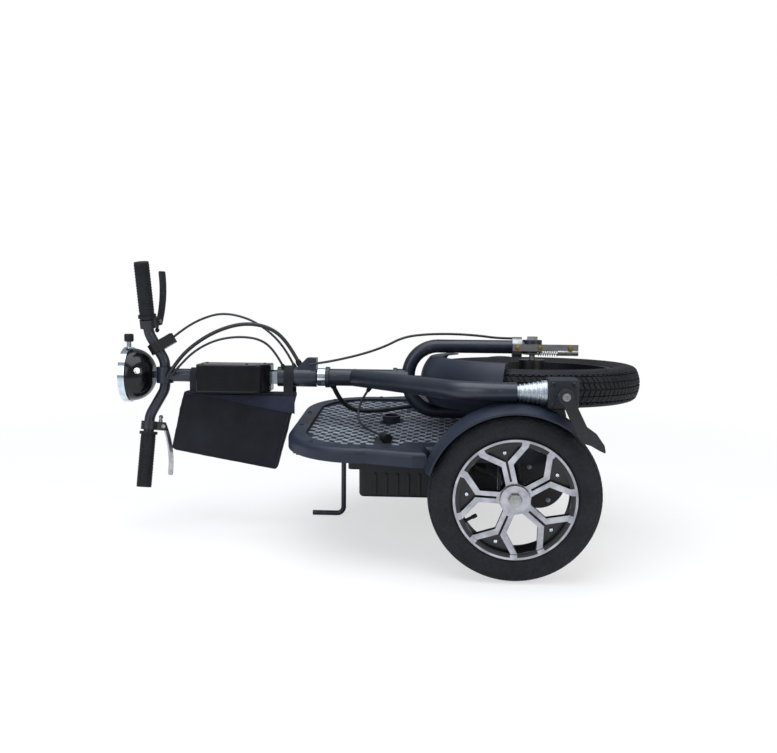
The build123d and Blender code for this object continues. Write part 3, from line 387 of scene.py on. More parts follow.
# %% [markdown]
# ## Mesh helpers
# Screws, ribs, dashes and stitches are the same small shape many times over. They could be placed one by
# one in a loop, but here the shape is drawn once. Geometry Nodes then sets a copy at every spot of a
# table, makes the copies real and gives them their material.


# %% Mesh helpers
SUNK = 0.4   # how far small pieces go into the surface that they stand on


def placed(name, data):
    """A new object in the scene."""
    made = bpy.data.objects.new(name, data)
    bpy.context.scene.collection.objects.link(made)
    return made


def evaluated(holder):
    """A new mesh of an object with its modifiers."""
    graph = bpy.context.evaluated_depsgraph_get()
    return bpy.data.meshes.new_from_object(holder.evaluated_get(graph))


def ring_faces(rings, sides, base=0, closed=False):
    """Faces between rings of points, one ring after the other. The last can join the first."""
    faces = []
    for ring in range(rings if closed else rings - 1):
        here, there = base + ring * sides, base + (ring + 1) % rings * sides
        pairs = [(i, (i + 1) % sides) for i in range(sides)]
        faces += [(here + a, here + b, there + b, there + a) for a, b in pairs]
    return faces


def search_tree(mesh):
    """The tree that finds where a ray meets a mesh."""
    places = [vert.co for vert in mesh.vertices]
    return BVHTree.FromPolygons(places, [face.vertices for face in mesh.polygons])


def mesh_of(name, verts, faces):
    """A mesh from points and faces, with its normals pointing out."""
    made = bpy.data.meshes.new(name)
    made.from_pydata([tuple(vert) for vert in verts], [], faces)
    shape = bmesh.new()
    shape.from_mesh(made)
    bmesh.ops.recalc_face_normals(shape, faces=shape.faces)
    shape.to_mesh(made)
    shape.free()
    return made


def lathe(name, profile, steps):
    """Turn a closed outline of (radius, along), in millimetres, about Z."""
    verts = []
    for step in range(steps):
        angle = tau * step / steps
        verts += [Vector((r * cos(angle), r * sin(angle), along)) * MM for r, along in profile]
    return mesh_of(name, verts, ring_faces(steps, len(profile), closed=True))


def arc(start, through, end, count):
    """Points on the arc through three points, without its end."""
    (ax, ay), (bx, by), (cx, cy) = start, through, end
    d = 2 * (ax * (by - cy) + bx * (cy - ay) + cx * (ay - by))
    a, b, c = ax * ax + ay * ay, bx * bx + by * by, cx * cx + cy * cy
    x = (a * (by - cy) + b * (cy - ay) + c * (ay - by)) / d
    y = (a * (cx - bx) + b * (ax - cx) + c * (bx - ax)) / d
    radius = ((ax - x) ** 2 + (ay - y) ** 2) ** 0.5
    first, mid, last = (atan2(py - y, px - x) for px, py in (start, through, end))
    sweep = (last - first) % tau
    if (mid - first) % tau > sweep:
        sweep -= tau
    angles = [first + sweep * step / count for step in range(count)]
    return [(x + radius * cos(angle), y + radius * sin(angle)) for angle in angles]


def smooth(mesh, angle=35):
    """Shade a mesh smooth, apart from edges sharper than the angle."""
    mesh.shade_smooth()
    mesh.set_sharp_from_angle(angle=radians(angle))
    return mesh


def copier():
    """The node group that sets a copy of an object at each point, turned as the point says."""
    tree = bpy.data.node_groups.new("copies_at_points", "GeometryNodeTree")
    ask = tree.interface.new_socket
    ask("Geometry", in_out="INPUT", socket_type="NodeSocketGeometry")
    ask("Source", in_out="INPUT", socket_type="NodeSocketObject")
    ask("Material", in_out="INPUT", socket_type="NodeSocketMaterial")
    ask("Geometry", in_out="OUTPUT", socket_type="NodeSocketGeometry")
    given = node(tree, "NodeGroupInput").outputs
    turn = node(tree, "GeometryNodeInputNamedAttribute", {"Name": "turn"}, data_type="FLOAT_VECTOR")
    source = node(tree, "GeometryNodeObjectInfo", {"Object": given["Source"]})
    spots = node(tree, "GeometryNodeMeshToPoints", {"Mesh": given["Geometry"]})
    set_out = node(tree, "GeometryNodeInstanceOnPoints", {
        "Points": spots.outputs["Points"], "Instance": source.outputs["Geometry"],
        "Rotation": turn.outputs["Attribute"]})
    real = node(tree, "GeometryNodeRealizeInstances", {"Geometry": set_out.outputs["Instances"]})
    dressed = node(tree, "GeometryNodeSetMaterial", {"Geometry": real.outputs["Geometry"],
                                                     "Material": given["Material"]})
    node(tree, "NodeGroupOutput", {"Geometry": dressed.outputs["Geometry"]})
    return tree


COPIER = copier()
COPIER_INPUTS = {item.name: item.identifier for item in COPIER.interface.items_tree if item.in_out == "INPUT"}


def copies(name, source, spots, material):
    """One mesh with a copy of the source at each spot: a place and its turn about X, Y and Z."""
    points = bpy.data.meshes.new(name)
    points.from_pydata([tuple(place) for place, _ in spots], [], [])
    turns = points.attributes.new("turn", "FLOAT_VECTOR", "POINT")
    turns.data.foreach_set("vector", [value for _, turn in spots for value in turn])
    holder = placed(name, points)
    pattern = placed(name + "_source", source)
    modifier = holder.modifiers.new("copies", "NODES")
    modifier.node_group = COPIER
    modifier[COPIER_INPUTS["Source"]] = pattern
    modifier[COPIER_INPUTS["Material"]] = material
    made = evaluated(holder)
    holder.modifiers.clear()
    bpy.data.objects.remove(holder)
    bpy.data.objects.remove(pattern)
    return made


def ring_spots(count, start=0.0):
    """Spots for even copies about Z."""
    return [((0, 0, 0), (0, 0, start + tau * step / count)) for step in range(count)]


def add(name, mesh, material, body, place=None):
    """Put a finished mesh into the scene on a body. Its place goes into the mesh."""
    if place is not None:
        mesh.transform(place)
    if material is not None:
        mesh.materials.clear()
        mesh.materials.append(material)
    made = placed(name, mesh)
    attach(made, body)
    return made


def scatter(name, source, spots, material, body):
    """Copies of a small shape at its spots, as one piece on a body."""
    return add(name, copies(name, source, spots, material), None, body)


def cap_turned(name, profile, steps=20):
    """A solid turned about Z from (radius, along, sides) rings. Six sides make a hexagon, none a circle."""
    verts = []
    for r, along, sides in profile:
        for step in range(steps):
            angle = tau * step / steps
            reach = r
            if sides:
                wedge = tau / sides
                reach = r * cos(wedge / 2) / cos(angle % wedge - wedge / 2)
            verts.append(Vector((reach * cos(angle), reach * sin(angle), along)) * MM)
    caps = [tuple(reversed(range(steps))), tuple(range((len(profile) - 1) * steps, len(profile) * steps))]
    return smooth(mesh_of(name, verts, ring_faces(len(profile), steps) + caps))


def socket_screw(name, radius, height):
    """A domed screw head with a six-sided socket, on Z = 0."""
    dome = [(radius, -SUNK, 0), (radius, 0.45 * height, 0), (0.86 * radius, 0.8 * height, 0)]
    dome += [(0.6 * radius, height, 0)]
    socket = [(0.5 * radius, height, 6), (0.46 * radius, 0.4 * height, 6)]
    return cap_turned(name, dome + socket, 24)


def hex_head(name, radius, height):
    """A six-sided bolt head on a round washer, on Z = 0."""
    washer = [(1.25 * radius, -SUNK, 0), (1.25 * radius, 0.2 * height, 0)]
    head = [(radius, 0.2 * height, 6), (radius, 0.85 * height, 6), (0.85 * radius, height, 6)]
    return cap_turned(name, washer + head, 24)


def piped(name, points, radius, sides=8, closed=False):
    """A round tube along points that are already in the scene. The radius is in mm."""
    count = len(points)
    verts = []
    side = None
    for i, point in enumerate(points):
        after = points[(i + 1) % count] if closed else points[min(i + 1, count - 1)]
        before = points[i - 1] if closed else points[max(i - 1, 0)]
        along = (after - before).normalized()
        side = (side or along.orthogonal()) - along * (side or along.orthogonal()).dot(along)
        side.normalize()
        other = along.cross(side)
        for step in range(sides):
            angle = tau * step / sides
            verts.append(point + (side * cos(angle) + other * sin(angle)) * radius * MM)
    faces = ring_faces(count, sides, closed=closed)
    if not closed:
        faces += [tuple(range(sides)), tuple(range((count - 1) * sides, count * sides))]
    return smooth(mesh_of(name, verts, faces), 50)


def slab(name, outer, inner):
    """A thin closed panel between two grids of points, each a list of equal rows."""
    rows, columns = len(outer), len(outer[0])
    verts = [point for grid in (outer, inner) for row in grid for point in row]
    size = rows * columns
    faces = []
    for r in range(rows - 1):
        for c in range(columns - 1):
            a = r * columns + c
            quad = (a, a + 1, a + columns + 1, a + columns)
            faces += [quad, tuple(size + i for i in reversed(quad))]
    edge = [(0, c) for c in range(columns)] + [(r, columns - 1) for r in range(1, rows)]
    edge += [(rows - 1, c) for c in range(columns - 2, -1, -1)] + [(r, 0) for r in range(rows - 2, 0, -1)]
    loop = [r * columns + c for r, c in edge]
    for a, b in zip(loop, loop[1:] + loop[:1]):
        faces.append((b, a, size + a, size + b))
    return smooth(mesh_of(name, verts, faces), 40)


def along_line(points, pitch):
    """Places and directions at an even pitch in mm along a line."""
    spots, left = [], 0.0
    for a, b in zip(points, points[1:]):
        run = (b - a).length
        while left < run:
            spots.append((a.lerp(b, left / run), (b - a).normalized()))
            left += pitch * MM
        left -= run
    return spots


def facing(normal):
    """The turn that points Z along a direction."""
    return tuple(Vector(normal).to_track_quat("Z", "Y").to_euler())


def spotted(axes_matrix, table):
    """Spots from places in mm and directions, both in some axes."""
    turn = axes_matrix.to_3x3()
    return [(axes_matrix @ (Vector(place) * MM), facing(turn @ Vector(normal))) for place, normal in table]


# %% [markdown]
# ## Camera, floor and light
# The camera stands on the trike's left, a little above the wheels, as in the photograph. Its place and
# angles are set as numbers, because a tracking constraint would lose the slight roll. A pale floor keeps
# the shadow, and soft boxes light the trike without hard edges.

# %% Camera
CAMERA_AT = (121.2, 2043.7, 690.2)
CAMERA_YAW = 3.68
CAMERA_PITCH = 9.88
CAMERA_ROLL = 0.2
FOCAL_PIXELS = 979
IMAGE_WIDTH = 777
SENSOR_WIDTH = 36
camera_data = bpy.data.cameras.new("photo_camera")
camera_data.sensor_width = SENSOR_WIDTH
camera_data.lens = FOCAL_PIXELS * SENSOR_WIDTH / IMAGE_WIDTH
camera = placed("photo_camera", camera_data)
camera.matrix_world = (Matrix.Translation(deck(*CAMERA_AT))
                       @ Matrix.Rotation(pi + radians(CAMERA_YAW), 4, "Z")
                       @ Matrix.Rotation(pi / 2 - radians(CAMERA_PITCH), 4, "X")
                       @ Matrix.Rotation(radians(CAMERA_ROLL), 4, "Z"))
bpy.context.scene.camera = camera
print("Camera at", camera.location, "with a lens of", camera_data.lens, "mm")


# %% Floor and light
FLOOR_HALF = 20.0
FLOOR_NEAR, FLOOR_FAR = 0.75, 1.6
LIGHTS_AIM = (0, 0, 0.25)
LIGHTS = {
    # name: place in metres, size, watts, colour
    "overhead_soft_box": ((0.2, 0.3, 2.6), 2.6, 70, "#f4f8ff"),
    "front_left_fill": ((1.6, 2.4, 1.5), 1.8, 26, "#eef4ff"),
    "right_strip": ((-1.9, 1.6, 1.3), 1.2, 20, "#fff6ea"),
}


def floor():
    """A wide pale floor at the ground, which fades into the white backdrop away from the trike."""
    half = FLOOR_HALF
    corners = [(-half, -half, 0), (half, -half, 0), (half, half, 0), (-half, half, 0)]
    mesh = mesh_of("floor", corners, [(0, 1, 2, 3)])
    made, tree, shader, place = begin("pale_studio_floor", 0.9)
    patch = node(tree, "ShaderNodeTexNoise", {"Vector": place, "Scale": patches(400), "Detail": 3})
    colour = node(tree, "ShaderNodeValToRGB", {"Fac": patch}, [(0.2, "#f8f8f8"), (0.8, "#fcfcfc")])
    wire(tree, shader, {"Base Color": colour})
    away = node(tree, "ShaderNodeVectorMath", {0: place}, operation="LENGTH").outputs["Value"]
    seen = node(tree, "ShaderNodeLightPath").outputs["Is Camera Ray"]
    reach = node(tree, "ShaderNodeMapRange", {"Value": away, "From Min": FLOOR_NEAR, "From Max": FLOOR_FAR,
                                              "To Min": 0.6, "To Max": 1.0})
    fade = node(tree, "ShaderNodeMath", {0: seen, 1: reach}, operation="MULTIPLY").outputs["Value"]
    white = node(tree, "ShaderNodeEmission", {"Color": (1, 1, 1, 1), "Strength": 1.0})
    mix = node(tree, "ShaderNodeMixShader", {0: fade, 1: shader.outputs[0], 2: white.outputs[0]})
    tree.links.new(mix.outputs[0], tree.nodes["Material Output"].inputs["Surface"])
    mesh.materials.append(made)
    plane = placed("floor", mesh)


def lights():
    """Soft boxes aimed at the trike, and a pale surround."""
    for name, (at, size, watts, code) in LIGHTS.items():
        data = bpy.data.lights.new(name, "AREA")
        data.size = size
        data.energy = watts
        data.color = linear(code)[:3]
        lamp = placed(name, data)
        lamp.location = at
        lamp.rotation_euler = (Vector(LIGHTS_AIM) - Vector(at)).to_track_quat("-Z", "Y").to_euler()
    world = bpy.data.worlds.new("studio")
    bpy.context.scene.world = world
    world.use_nodes = True
    tree = world.node_tree
    tree.nodes.clear()
    seen = node(tree, "ShaderNodeLightPath").outputs["Is Camera Ray"]
    lit = node(tree, "ShaderNodeBackground", {"Color": linear("#e9eef6"), "Strength": 0.42})
    white = node(tree, "ShaderNodeBackground", {"Color": (1, 1, 1, 1), "Strength": 1.0})
    mix = node(tree, "ShaderNodeMixShader", {0: seen, 1: lit.outputs[0], 2: white.outputs[0]})
    node(tree, "ShaderNodeOutputWorld", {"Surface": mix.outputs[0]})
    bpy.context.scene.view_settings.view_transform = "Standard"


floor()
lights()
print("Soft boxes:", len(LIGHTS))

# %% [markdown]
# ## Cables
# Brake and power cables loop from the handlebar to the stem, and two leads run down to the deck. A chain
# of rigid pieces could follow the same way, but a curve with a round bevel stays smooth. Each cable is
# one curve with its route's points as control points. The handlebar's cables turn with the steering, and
# the two leads to the deck leave with the front section.

# %% Cable routes
CORDS = {
    # name: (carrier, radius, length, points)
    "high_loop_cable": ("steering", 2.5, 340, [
        (15, -70, 778), (20, -96, 748), (26, -120, 708), (26, -134, 660), (24, -122, 602), (20, -92, 554),
        (17, -54, 520), (10, -21, 502)]),
    "bundled_cable": ("steering", 4, 361, [
        (-20, 4, 770), (-22, -32, 748), (-22, -70, 708), (-20, -100, 656), (-16, -114, 600), (-12, -104, 548),
        (-10, -72, 512), (-6, -30, 490)]),
    "flat_loop_cable": ("steering", 2.5, 310, [
        (-17, 6, 768), (-30, -18, 744), (-34, -54, 708), (-34, -78, 662), (-32, -86, 612), (-28, -80, 566),
        (-20, -54, 538), (-11, -21, 522)]),
    "front_brake_cable": ("steering", 2.5, 438, [
        (-17, -28, 466), (-22, -32, 438), (-30, -40, 400), (-32, -52, 352), (-28, -68, 306), (-18, -88, 268),
        (-8, -94, 220), (-2, -95, 166), (0, -92, 112), (0, -86.9, 72), (0, -86.9, 42.4)]),
    "thick_harness_cable": ("front_frame", 5, 257, [
        (372, -1, 314), (364, -8, 292), (350, -18, 269), (328, -30, 253), (298, -46, 248), (264, -66, 247),
        (230, -94, 247), (204, -122, 246), (192, -136, 245)]),
    "thin_lead_cable": ("front_frame", 2.5, 187, [
        (290, 49, 315.2), (302, 53, 298), (311, 62, 276), (310, 78, 256), (298, 102, 248), (280, 132, 246),
        (262, 160, 245), (251, 176, 245)]),
}
CABLE_NODES = {"steering": "bar_cables", "front_frame": "harness_cables"}
CABLE_AXES = {"steering": front, "front_frame": deck}


def nurbs(name, points):
    """A smooth open curve with these control points."""
    curve = bpy.data.curves.new(name, "CURVE")
    curve.dimensions = "3D"
    spline = curve.splines.new("NURBS")
    spline.points.add(len(points) - 1)
    for control, place in zip(spline.points, points):
        control.co = (*place, 1.0)
    spline.order_u = 3
    spline.use_endpoint_u = True
    spline.resolution_u = 16
    return placed(name, curve)


def line_of(curve):
    """The points of a curve that has no thickness yet."""
    return [vert.co.copy() for vert in evaluated(curve).vertices]


cord_lines = {}
for name, (body, radius, length, points) in CORDS.items():
    places = [CABLE_AXES[body](*point) for point in points]
    cable = nurbs(name, places)
    cord_lines[name] = line_of(cable)
    cable.data.bevel_depth = radius * MM
    cable.data.bevel_resolution = 4
    cable.data.use_fill_caps = True
    cable.data.materials.append(jacket)
    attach(cable, body)
    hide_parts(CABLE_NODES[body])
    run = sum((b - a).length for a, b in zip(cord_lines[name], cord_lines[name][1:]))
    print(f"{name}: {run / MM:.0f} mm along its curve")


# %% [markdown]
# ## Wheels
# The tyres are pneumatic, with a blocked road tread. The tread could be a relief map, but its blocks break
# the outline, so they are modelled. A tyre is a lathe-turned carcass whose crown lies at the bottom of
# the grooves. One pitch of tread blocks follows the crown's curve, and copies of it go round the tyre.

# %% Wheel sizes
FLANGE_H = 6.5
BEAD_HALF = 23
GROOVE, BLOCK_ROOT = 3.4, 1.5     # depth of the grooves, and how far the blocks go in below them
CHAMFER = 0.8
SHOULDER_HALF, SHOULDER_DROP = 0.39, 0.1   # the tread's shoulder, as shares of the tyre's width
SHOULDER_IN = 1.5                 # the carcass is that much narrower than the blocks
WALL_EASE = 0.8                   # the wall lies this far inside the full width, to clear the deck
RAISED_LINES, RAISED = (3, 6), 0.9   # steps of the side wall that carry a raised line, and its height
WALL_FALL, WALL_OUT = 0.77, 0.6   # way of the side wall just past the shoulder: inwards, sideways
Wheel = namedtuple("Wheel", "axes body tyre_node rim_node alloy size pitches")
# The size is the tyre's radius, the tyre's width and the rim's radius. The pitches are those of the tread.
REAR_SIZE, FRONT_SIZE = (161.5, 62, 114), (220, 74, 165)
WHEELS = {
    "rear_left": Wheel(WHEEL_LEFT, "rear_wheel_left", "rear_tyre_left", "rear_rim_left",
                       rear_alloy, REAR_SIZE, 44),
    "rear_right": Wheel(WHEEL_RIGHT, "rear_wheel_right", "rear_tyre_right", "rear_rim_right",
                        rear_alloy, REAR_SIZE, 44),
    "front": Wheel(WHEEL_FRONT, "front_wheel", "front_tyre", "front_rim",
                   front_alloy, FRONT_SIZE, 56),
}
# One pitch of tread: start and end along the pitch, inner and outer share of the crown, skew
TREAD = [
    (0.04, 0.46, 0.05, 0.40, 0.18),
    (0.54, 0.96, 0.05, 0.40, 0.18),
    (0.10, 0.62, 0.47, 0.83, 0.26),
    (0.68, 1.04, 0.47, 0.83, 0.26),
    (0.16, 0.60, 0.90, 1.26, 0.10),
    (0.70, 1.02, 0.90, 1.16, 0.10),
]


# %% Tyres
def side_wall(radius, width, rim_r):
    """The side wall from the rim's lip to the shoulder, as points of radius and width."""
    lip_r = rim_r + 0.1
    shoulder = (radius - SHOULDER_DROP * width, SHOULDER_HALF * width)
    widest = ((lip_r + radius) / 2 - 0.05 * width, width / 2 - WALL_EASE)
    return arc((lip_r, BEAD_HALF), widest, shoulder, 14) + [shoulder]


def carcass(name, radius, width, rim_r):
    """The tyre without its tread blocks, with two raised lines on each side wall."""
    wall = side_wall(radius, width, rim_r)
    shoulder = wall[-1]
    lined = [(r, along + (RAISED if step in RAISED_LINES else 0.0)) for step, (r, along) in enumerate(wall)]
    low = (shoulder[0] - GROOVE, shoulder[1] - SHOULDER_IN)
    crown = arc(low, (radius - GROOVE, 0), (low[0], -low[1]), 12)
    upper = [(rim_r - FLANGE_H + 0.1, BEAD_HALF)] + lined
    lower = [(r, -along) for r, along in reversed(upper)]
    return smooth(lathe(name, upper + crown + [(low[0], -low[1])] + lower, 128), 40)


def tread_pitch(name, radius, width, pitches):
    """One pitch of blocks on both sides of the crown, the second side half a pitch on."""
    chord, drop = SHOULDER_HALF * width, SHOULDER_DROP * width
    bow = (chord * chord + drop * drop) / (2 * drop)
    reach = asin(chord / bow)

    def at(along, across, down):
        """The point at a share of the pitch and of the half crown, some mm below the tread's top."""
        angle = along * tau / pitches
        tilt = min(abs(across), 1.0) * reach
        past = max(abs(across) - 1.0, 0.0) * reach * bow
        r = radius - bow + (bow - down) * cos(tilt) - WALL_FALL * past
        side = (bow - down) * sin(tilt) + WALL_OUT * past
        return Vector((r * cos(angle), r * sin(angle), copysign(side, across))) * MM

    verts, faces = [], []
    inset_u = CHAMFER / (tau * radius / pitches)
    inset_v = CHAMFER / (bow * reach)
    for side in (1, -1):
        for start, end, inner, outer, skew in TREAD:
            base = len(verts)
            for down, du, dv in ((GROOVE + BLOCK_ROOT, 0, 0), (CHAMFER * 0.6, 0, 0), (0, inset_u, inset_v)):
                corners = [(start + du, inner + dv), (end - du, inner + dv), (end - du + skew, outer - dv),
                           (start + du + skew, outer - dv)]
                shift = 0.0 if side > 0 else 0.5
                verts += [at(u + shift, side * v, down) for u, v in corners]
            faces += ring_faces(3, 4, base) + [tuple(base + 8 + i for i in range(4))]
    return mesh_of(name, verts, faces)


def wall_rib(name, radius, width, rim_r):
    """One fine radial rib on the side wall, near the rim."""
    wall = side_wall(radius, width, rim_r)
    (low, inner), (high, outer) = wall[1], wall[4]
    half, sunk, proud = 0.5, 0.8, 0.9
    verts = [(low, -half, inner - sunk), (low, half, inner - sunk), (high, half, outer - sunk),
             (high, -half, outer - sunk), (low + half, 0, inner + proud), (high - half, 0, outer + proud)]
    faces = [(0, 1, 4), (1, 2, 5, 4), (2, 3, 5), (3, 0, 4, 5), (0, 3, 2, 1)]
    return mesh_of(name, [Vector(vert) * MM for vert in verts], faces)


def joined(name, meshes):
    """Several meshes as one."""
    shape = bmesh.new()
    for mesh in meshes:
        shape.from_mesh(mesh)
    made = bpy.data.meshes.new(name)
    shape.to_mesh(made)
    shape.free()
    return made


for key, wheel in WHEELS.items():
    name = key + "_tyre_tread"
    pitch = tread_pitch(name, *wheel.size[:2], wheel.pitches)
    tread = copies(name, pitch, ring_spots(wheel.pitches), tyre_rubber)
    ribs = copies(name, wall_rib(name, *wheel.size), ring_spots(2 * wheel.pitches), tyre_rubber)
    far_ribs = ribs.copy()
    far_ribs.transform(Matrix.Rotation(pi, 4, "X"))
    whole = joined(name, [carcass(name, *wheel.size), tread, ribs, far_ribs])
    tyre = add(name, whole, tyre_rubber, wheel.body, wheel.axes)
    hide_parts(wheel.tyre_node)
    print(name, "faces:", len(whole.polygons))


# %% [markdown]
# ## Rims
# The rims are cast, painted black all over, and then turned on a lathe until the raised faces are bright.
# The cast form is already there as a solid, so it is kept. A rule on each face's place and direction
# says whether the lathe reaches it, and picks bright alloy or black paint.


# %% Rims in two finishes
def two_tone(name, cad_node, first, second, is_second):
    """A node's own form in two materials: a rule on each face's middle and normal picks the second."""
    mesh = nodes[cad_node].data.copy()
    mesh.materials.clear()
    mesh.materials.append(first)
    mesh.materials.append(second)
    for face in mesh.polygons:
        face.material_index = int(is_second(face.center, face.normal))
    made = add(name, mesh, None, nodes[cad_node]["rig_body"])
    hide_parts(cad_node)
    return made


HUB_FACE, RIM_FACE = 17.5, 25.3       # height of the dished disc at the hub and at the rim
MACHINED_SLACK, MACHINED_FLAT = 1.5, 0.8


def machined_rule(wheel):
    """Faces on the wheel's outer side, at or above the dished disc, are machined."""
    back = wheel.axes.inverted()

    def rule(middle, normal):
        """True for a face that a lathe reaches."""
        spot = (back @ middle) / MM
        outward = (back.to_3x3() @ normal).z
        share = min(1.0, spot.xy.length / wheel.size[2])
        return outward > MACHINED_FLAT and spot.z > HUB_FACE + (RIM_FACE - HUB_FACE) * share - MACHINED_SLACK
    return rule


for key, wheel in WHEELS.items():
    rim = two_tone(key + "_rim_cast", wheel.rim_node, wheel_paint, wheel.alloy, machined_rule(wheel))
    print(key, "machined faces:", sum(face.material_index for face in rim.data.polygons))


# %% [markdown]
# ## Paint, bolts and valves
# Between the ends of the forked arms the rim's flange is black, and only its edge is bright. The solid has
# no edge there to part the colours, so thin strips of paint are laid over it. A bolt in each pocket and a
# rubber valve complete the wheel.

# %% Paint bands, bolts and valves on the rims
ARMS = 5
ARM_TURN = -4.5
DISC_LOW, DISC_RISE = 18.3, 7.0       # face of the spoke disc at the hub, and its rise
DISC_ROOT, DISC_END = 21.0, 8.25      # its inner radius, and how far it ends inside the rim's radius
RIM_STEP, PAINT_END = 10, 4.4         # where the rim's barrel and the paint end, inside the rim's radius
FLANGE_FACE = 27.3
POCKET_FLOOR, RIM_BOLTS = 14.8, 0.78  # where the bolts stand: height, and share of the rim's radius
PAINT = 0.12
BAND_STEPS = 12
# Sectors beside an arm: start and end in degrees from the arm, inner edge as a share of the rim
BANDS = [(-18.6, 18.6, 0.893), (25.7, 46.3, 0.888)]
VALVE_ANGLE = 28


def paint_bands(name, rim_r):
    """Black paint on the flange between the ends of the forked arms, so only a thin bright edge is left."""
    step_r = rim_r - RIM_STEP
    verts, faces = [], []
    for arm in range(ARMS):
        for start, end, inner in BANDS:
            low = DISC_LOW + DISC_RISE * (inner * rim_r - DISC_ROOT) / (rim_r - DISC_END - DISC_ROOT)
            strip = [(inner * rim_r, low), (step_r - PAINT, low + 0.3), (step_r - PAINT, FLANGE_FACE),
                     (rim_r - PAINT_END, FLANGE_FACE)]
            for step in range(BAND_STEPS + 1):
                here = len(verts)
                angle = radians(ARM_TURN + 360 / ARMS * arm + start + (end - start) * step / BAND_STEPS)
                verts += [Vector((r * cos(angle), r * sin(angle), z + PAINT)) * MM for r, z in strip]
                if step < BAND_STEPS:
                    faces += [(here + i, here + i + 1, here + i + 5, here + i + 4) for i in range(3)]
    return mesh_of(name, verts, faces)


def valve(name):
    """A rubber valve with a ribbed cap, standing on Z = 0."""
    rings = [(4.2, -1, 0), (4.2, 3, 0), (3.2, 5, 0), (2.9, 16, 0), (4.0, 16.5, 0)]
    rings += [(4.0 if step % 2 else 3.6, 17 + step, 0) for step in range(8)]
    return cap_turned(name, rings + [(3.0, 26, 0)], 18)


arms = [radians(ARM_TURN + 360 / ARMS * arm) for arm in range(ARMS)]
turn = radians(VALVE_ANGLE)
for key, wheel in WHEELS.items():
    rim_r = wheel.size[2]
    paint = paint_bands(key + "_rim_paint", rim_r)
    add(key + "_rim_paint", paint, wheel_paint, wheel.body, wheel.axes)
    bolt_r, foot_r = RIM_BOLTS * rim_r, rim_r - RIM_STEP
    bolts = spotted(wheel.axes, [((bolt_r * cos(a), bolt_r * sin(a), POCKET_FLOOR), (0, 0, 1)) for a in arms])
    head = socket_screw(key + "_bolt", 4.2, 3.6)
    scatter(key + "_rim_bolts", head, bolts, chrome, wheel.body)
    foot = spotted(wheel.axes, [((foot_r * cos(turn), foot_r * sin(turn), 3), (-cos(turn), -sin(turn), 0))])
    scatter(key + "_valve", valve(key + "_valve_stem"), foot, tyre_rubber, wheel.body)
print("Bolts on each rim:", len(arms))


# %% [markdown]
# ## Deck mat
# The mat that the rider stands on is rubber with raised dashes in rows, each row half a pitch on. They
# could be a relief map, but real blocks catch the light at this flat angle. They stop short of the
# border, of the collar of the seat socket and of the cable glands.

# %% Mat dashes
MAT_TOP = 235
MAT_REAR, MAT_FRONT, MAT_WAIST_X = -74, 412, 211
MAT_HALF, MAT_WAIST, MAT_CORNER = 226, 200, 114
DASH_L, DASH_W, DASH_H, DASH_POINT = 18, 9, 1.5, 3
DASH_PITCH, DASH_ROW, DASH_TURN = 25, 15, 0.5
MAT_MARGIN = 9
# Places without dashes, as X, Y and radius: the seat socket, and the two leads with their glands
KEEP_OUT = [(246, 0, 26), (192, -136, 24), (251, 176, 24), (185, -146, 22), (243, 188, 22)]


def on_mat(x, y):
    """True if a dash at this place lies well inside the mat."""
    half = MAT_HALF if x > MAT_WAIST_X + MAT_MARGIN else MAT_WAIST
    edge = MAT_CORNER - MAT_MARGIN
    dx = x - (MAT_FRONT - MAT_CORNER)
    dy = abs(y) - (MAT_HALF - MAT_CORNER)
    if dx > 0 and dy > 0 and (dx * dx + dy * dy) ** 0.5 > edge:
        return False
    if any((x - cx) ** 2 + (y - cy) ** 2 < r * r for cx, cy, r in KEEP_OUT):
        return False
    return MAT_REAR + MAT_MARGIN < x < MAT_FRONT - MAT_MARGIN and abs(y) < half - MAT_MARGIN


def dash():
    """A six-cornered dash with bevelled sides, along X."""
    tip, flank, side = DASH_L / 2, DASH_L / 2 - DASH_POINT, DASH_W / 2
    outline = [(tip, 0), (flank, side), (-flank, side), (-tip, 0), (-flank, -side), (flank, -side)]
    verts = []
    for height, share in ((-SUNK, 1.0), (0.7 * DASH_H, 0.97), (DASH_H, 0.8)):
        verts += [Vector((x * share, y * share, height)) * MM for x, y in outline]
    return mesh_of("mat_dash", verts, ring_faces(3, 6) + [tuple(range(12, 18))])


dash_spots = []
rows = int(2 * MAT_HALF / DASH_ROW)
for row in range(rows):
    y = (row - (rows - 1) / 2) * DASH_ROW
    for column in range(int((MAT_FRONT - MAT_REAR) / DASH_PITCH) + 1):
        x = MAT_REAR + (column + 0.5 * (row % 2)) * DASH_PITCH
        if on_mat(x, y):
            dash_spots.append((deck(x, y, MAT_TOP), (0, 0, DASH_TURN if row % 2 else -DASH_TURN)))
# The dashes take the pale stud rubber, a painted highlight of their lit tops.
scatter("mat_dashes", dash(), dash_spots, mat_stud_painted_highlight, "chassis")
print("Dashes on the mat:", len(dash_spots))


# %% [markdown]
# ## Carry bag
# A flat padded bag hangs from the stem by two straps. It could be sculpted, but cloth under a little
# pressure finds the soft bulge of a filled bag by itself. The bag starts as a shell a little smaller
# than the full one. A cloth simulation blows it up for twenty frames while its sewn rim is held, and no
# point may move further than a set limit, so the bag keeps to its place. The flap, the piping and the
# stitches are then laid on the finished shape.

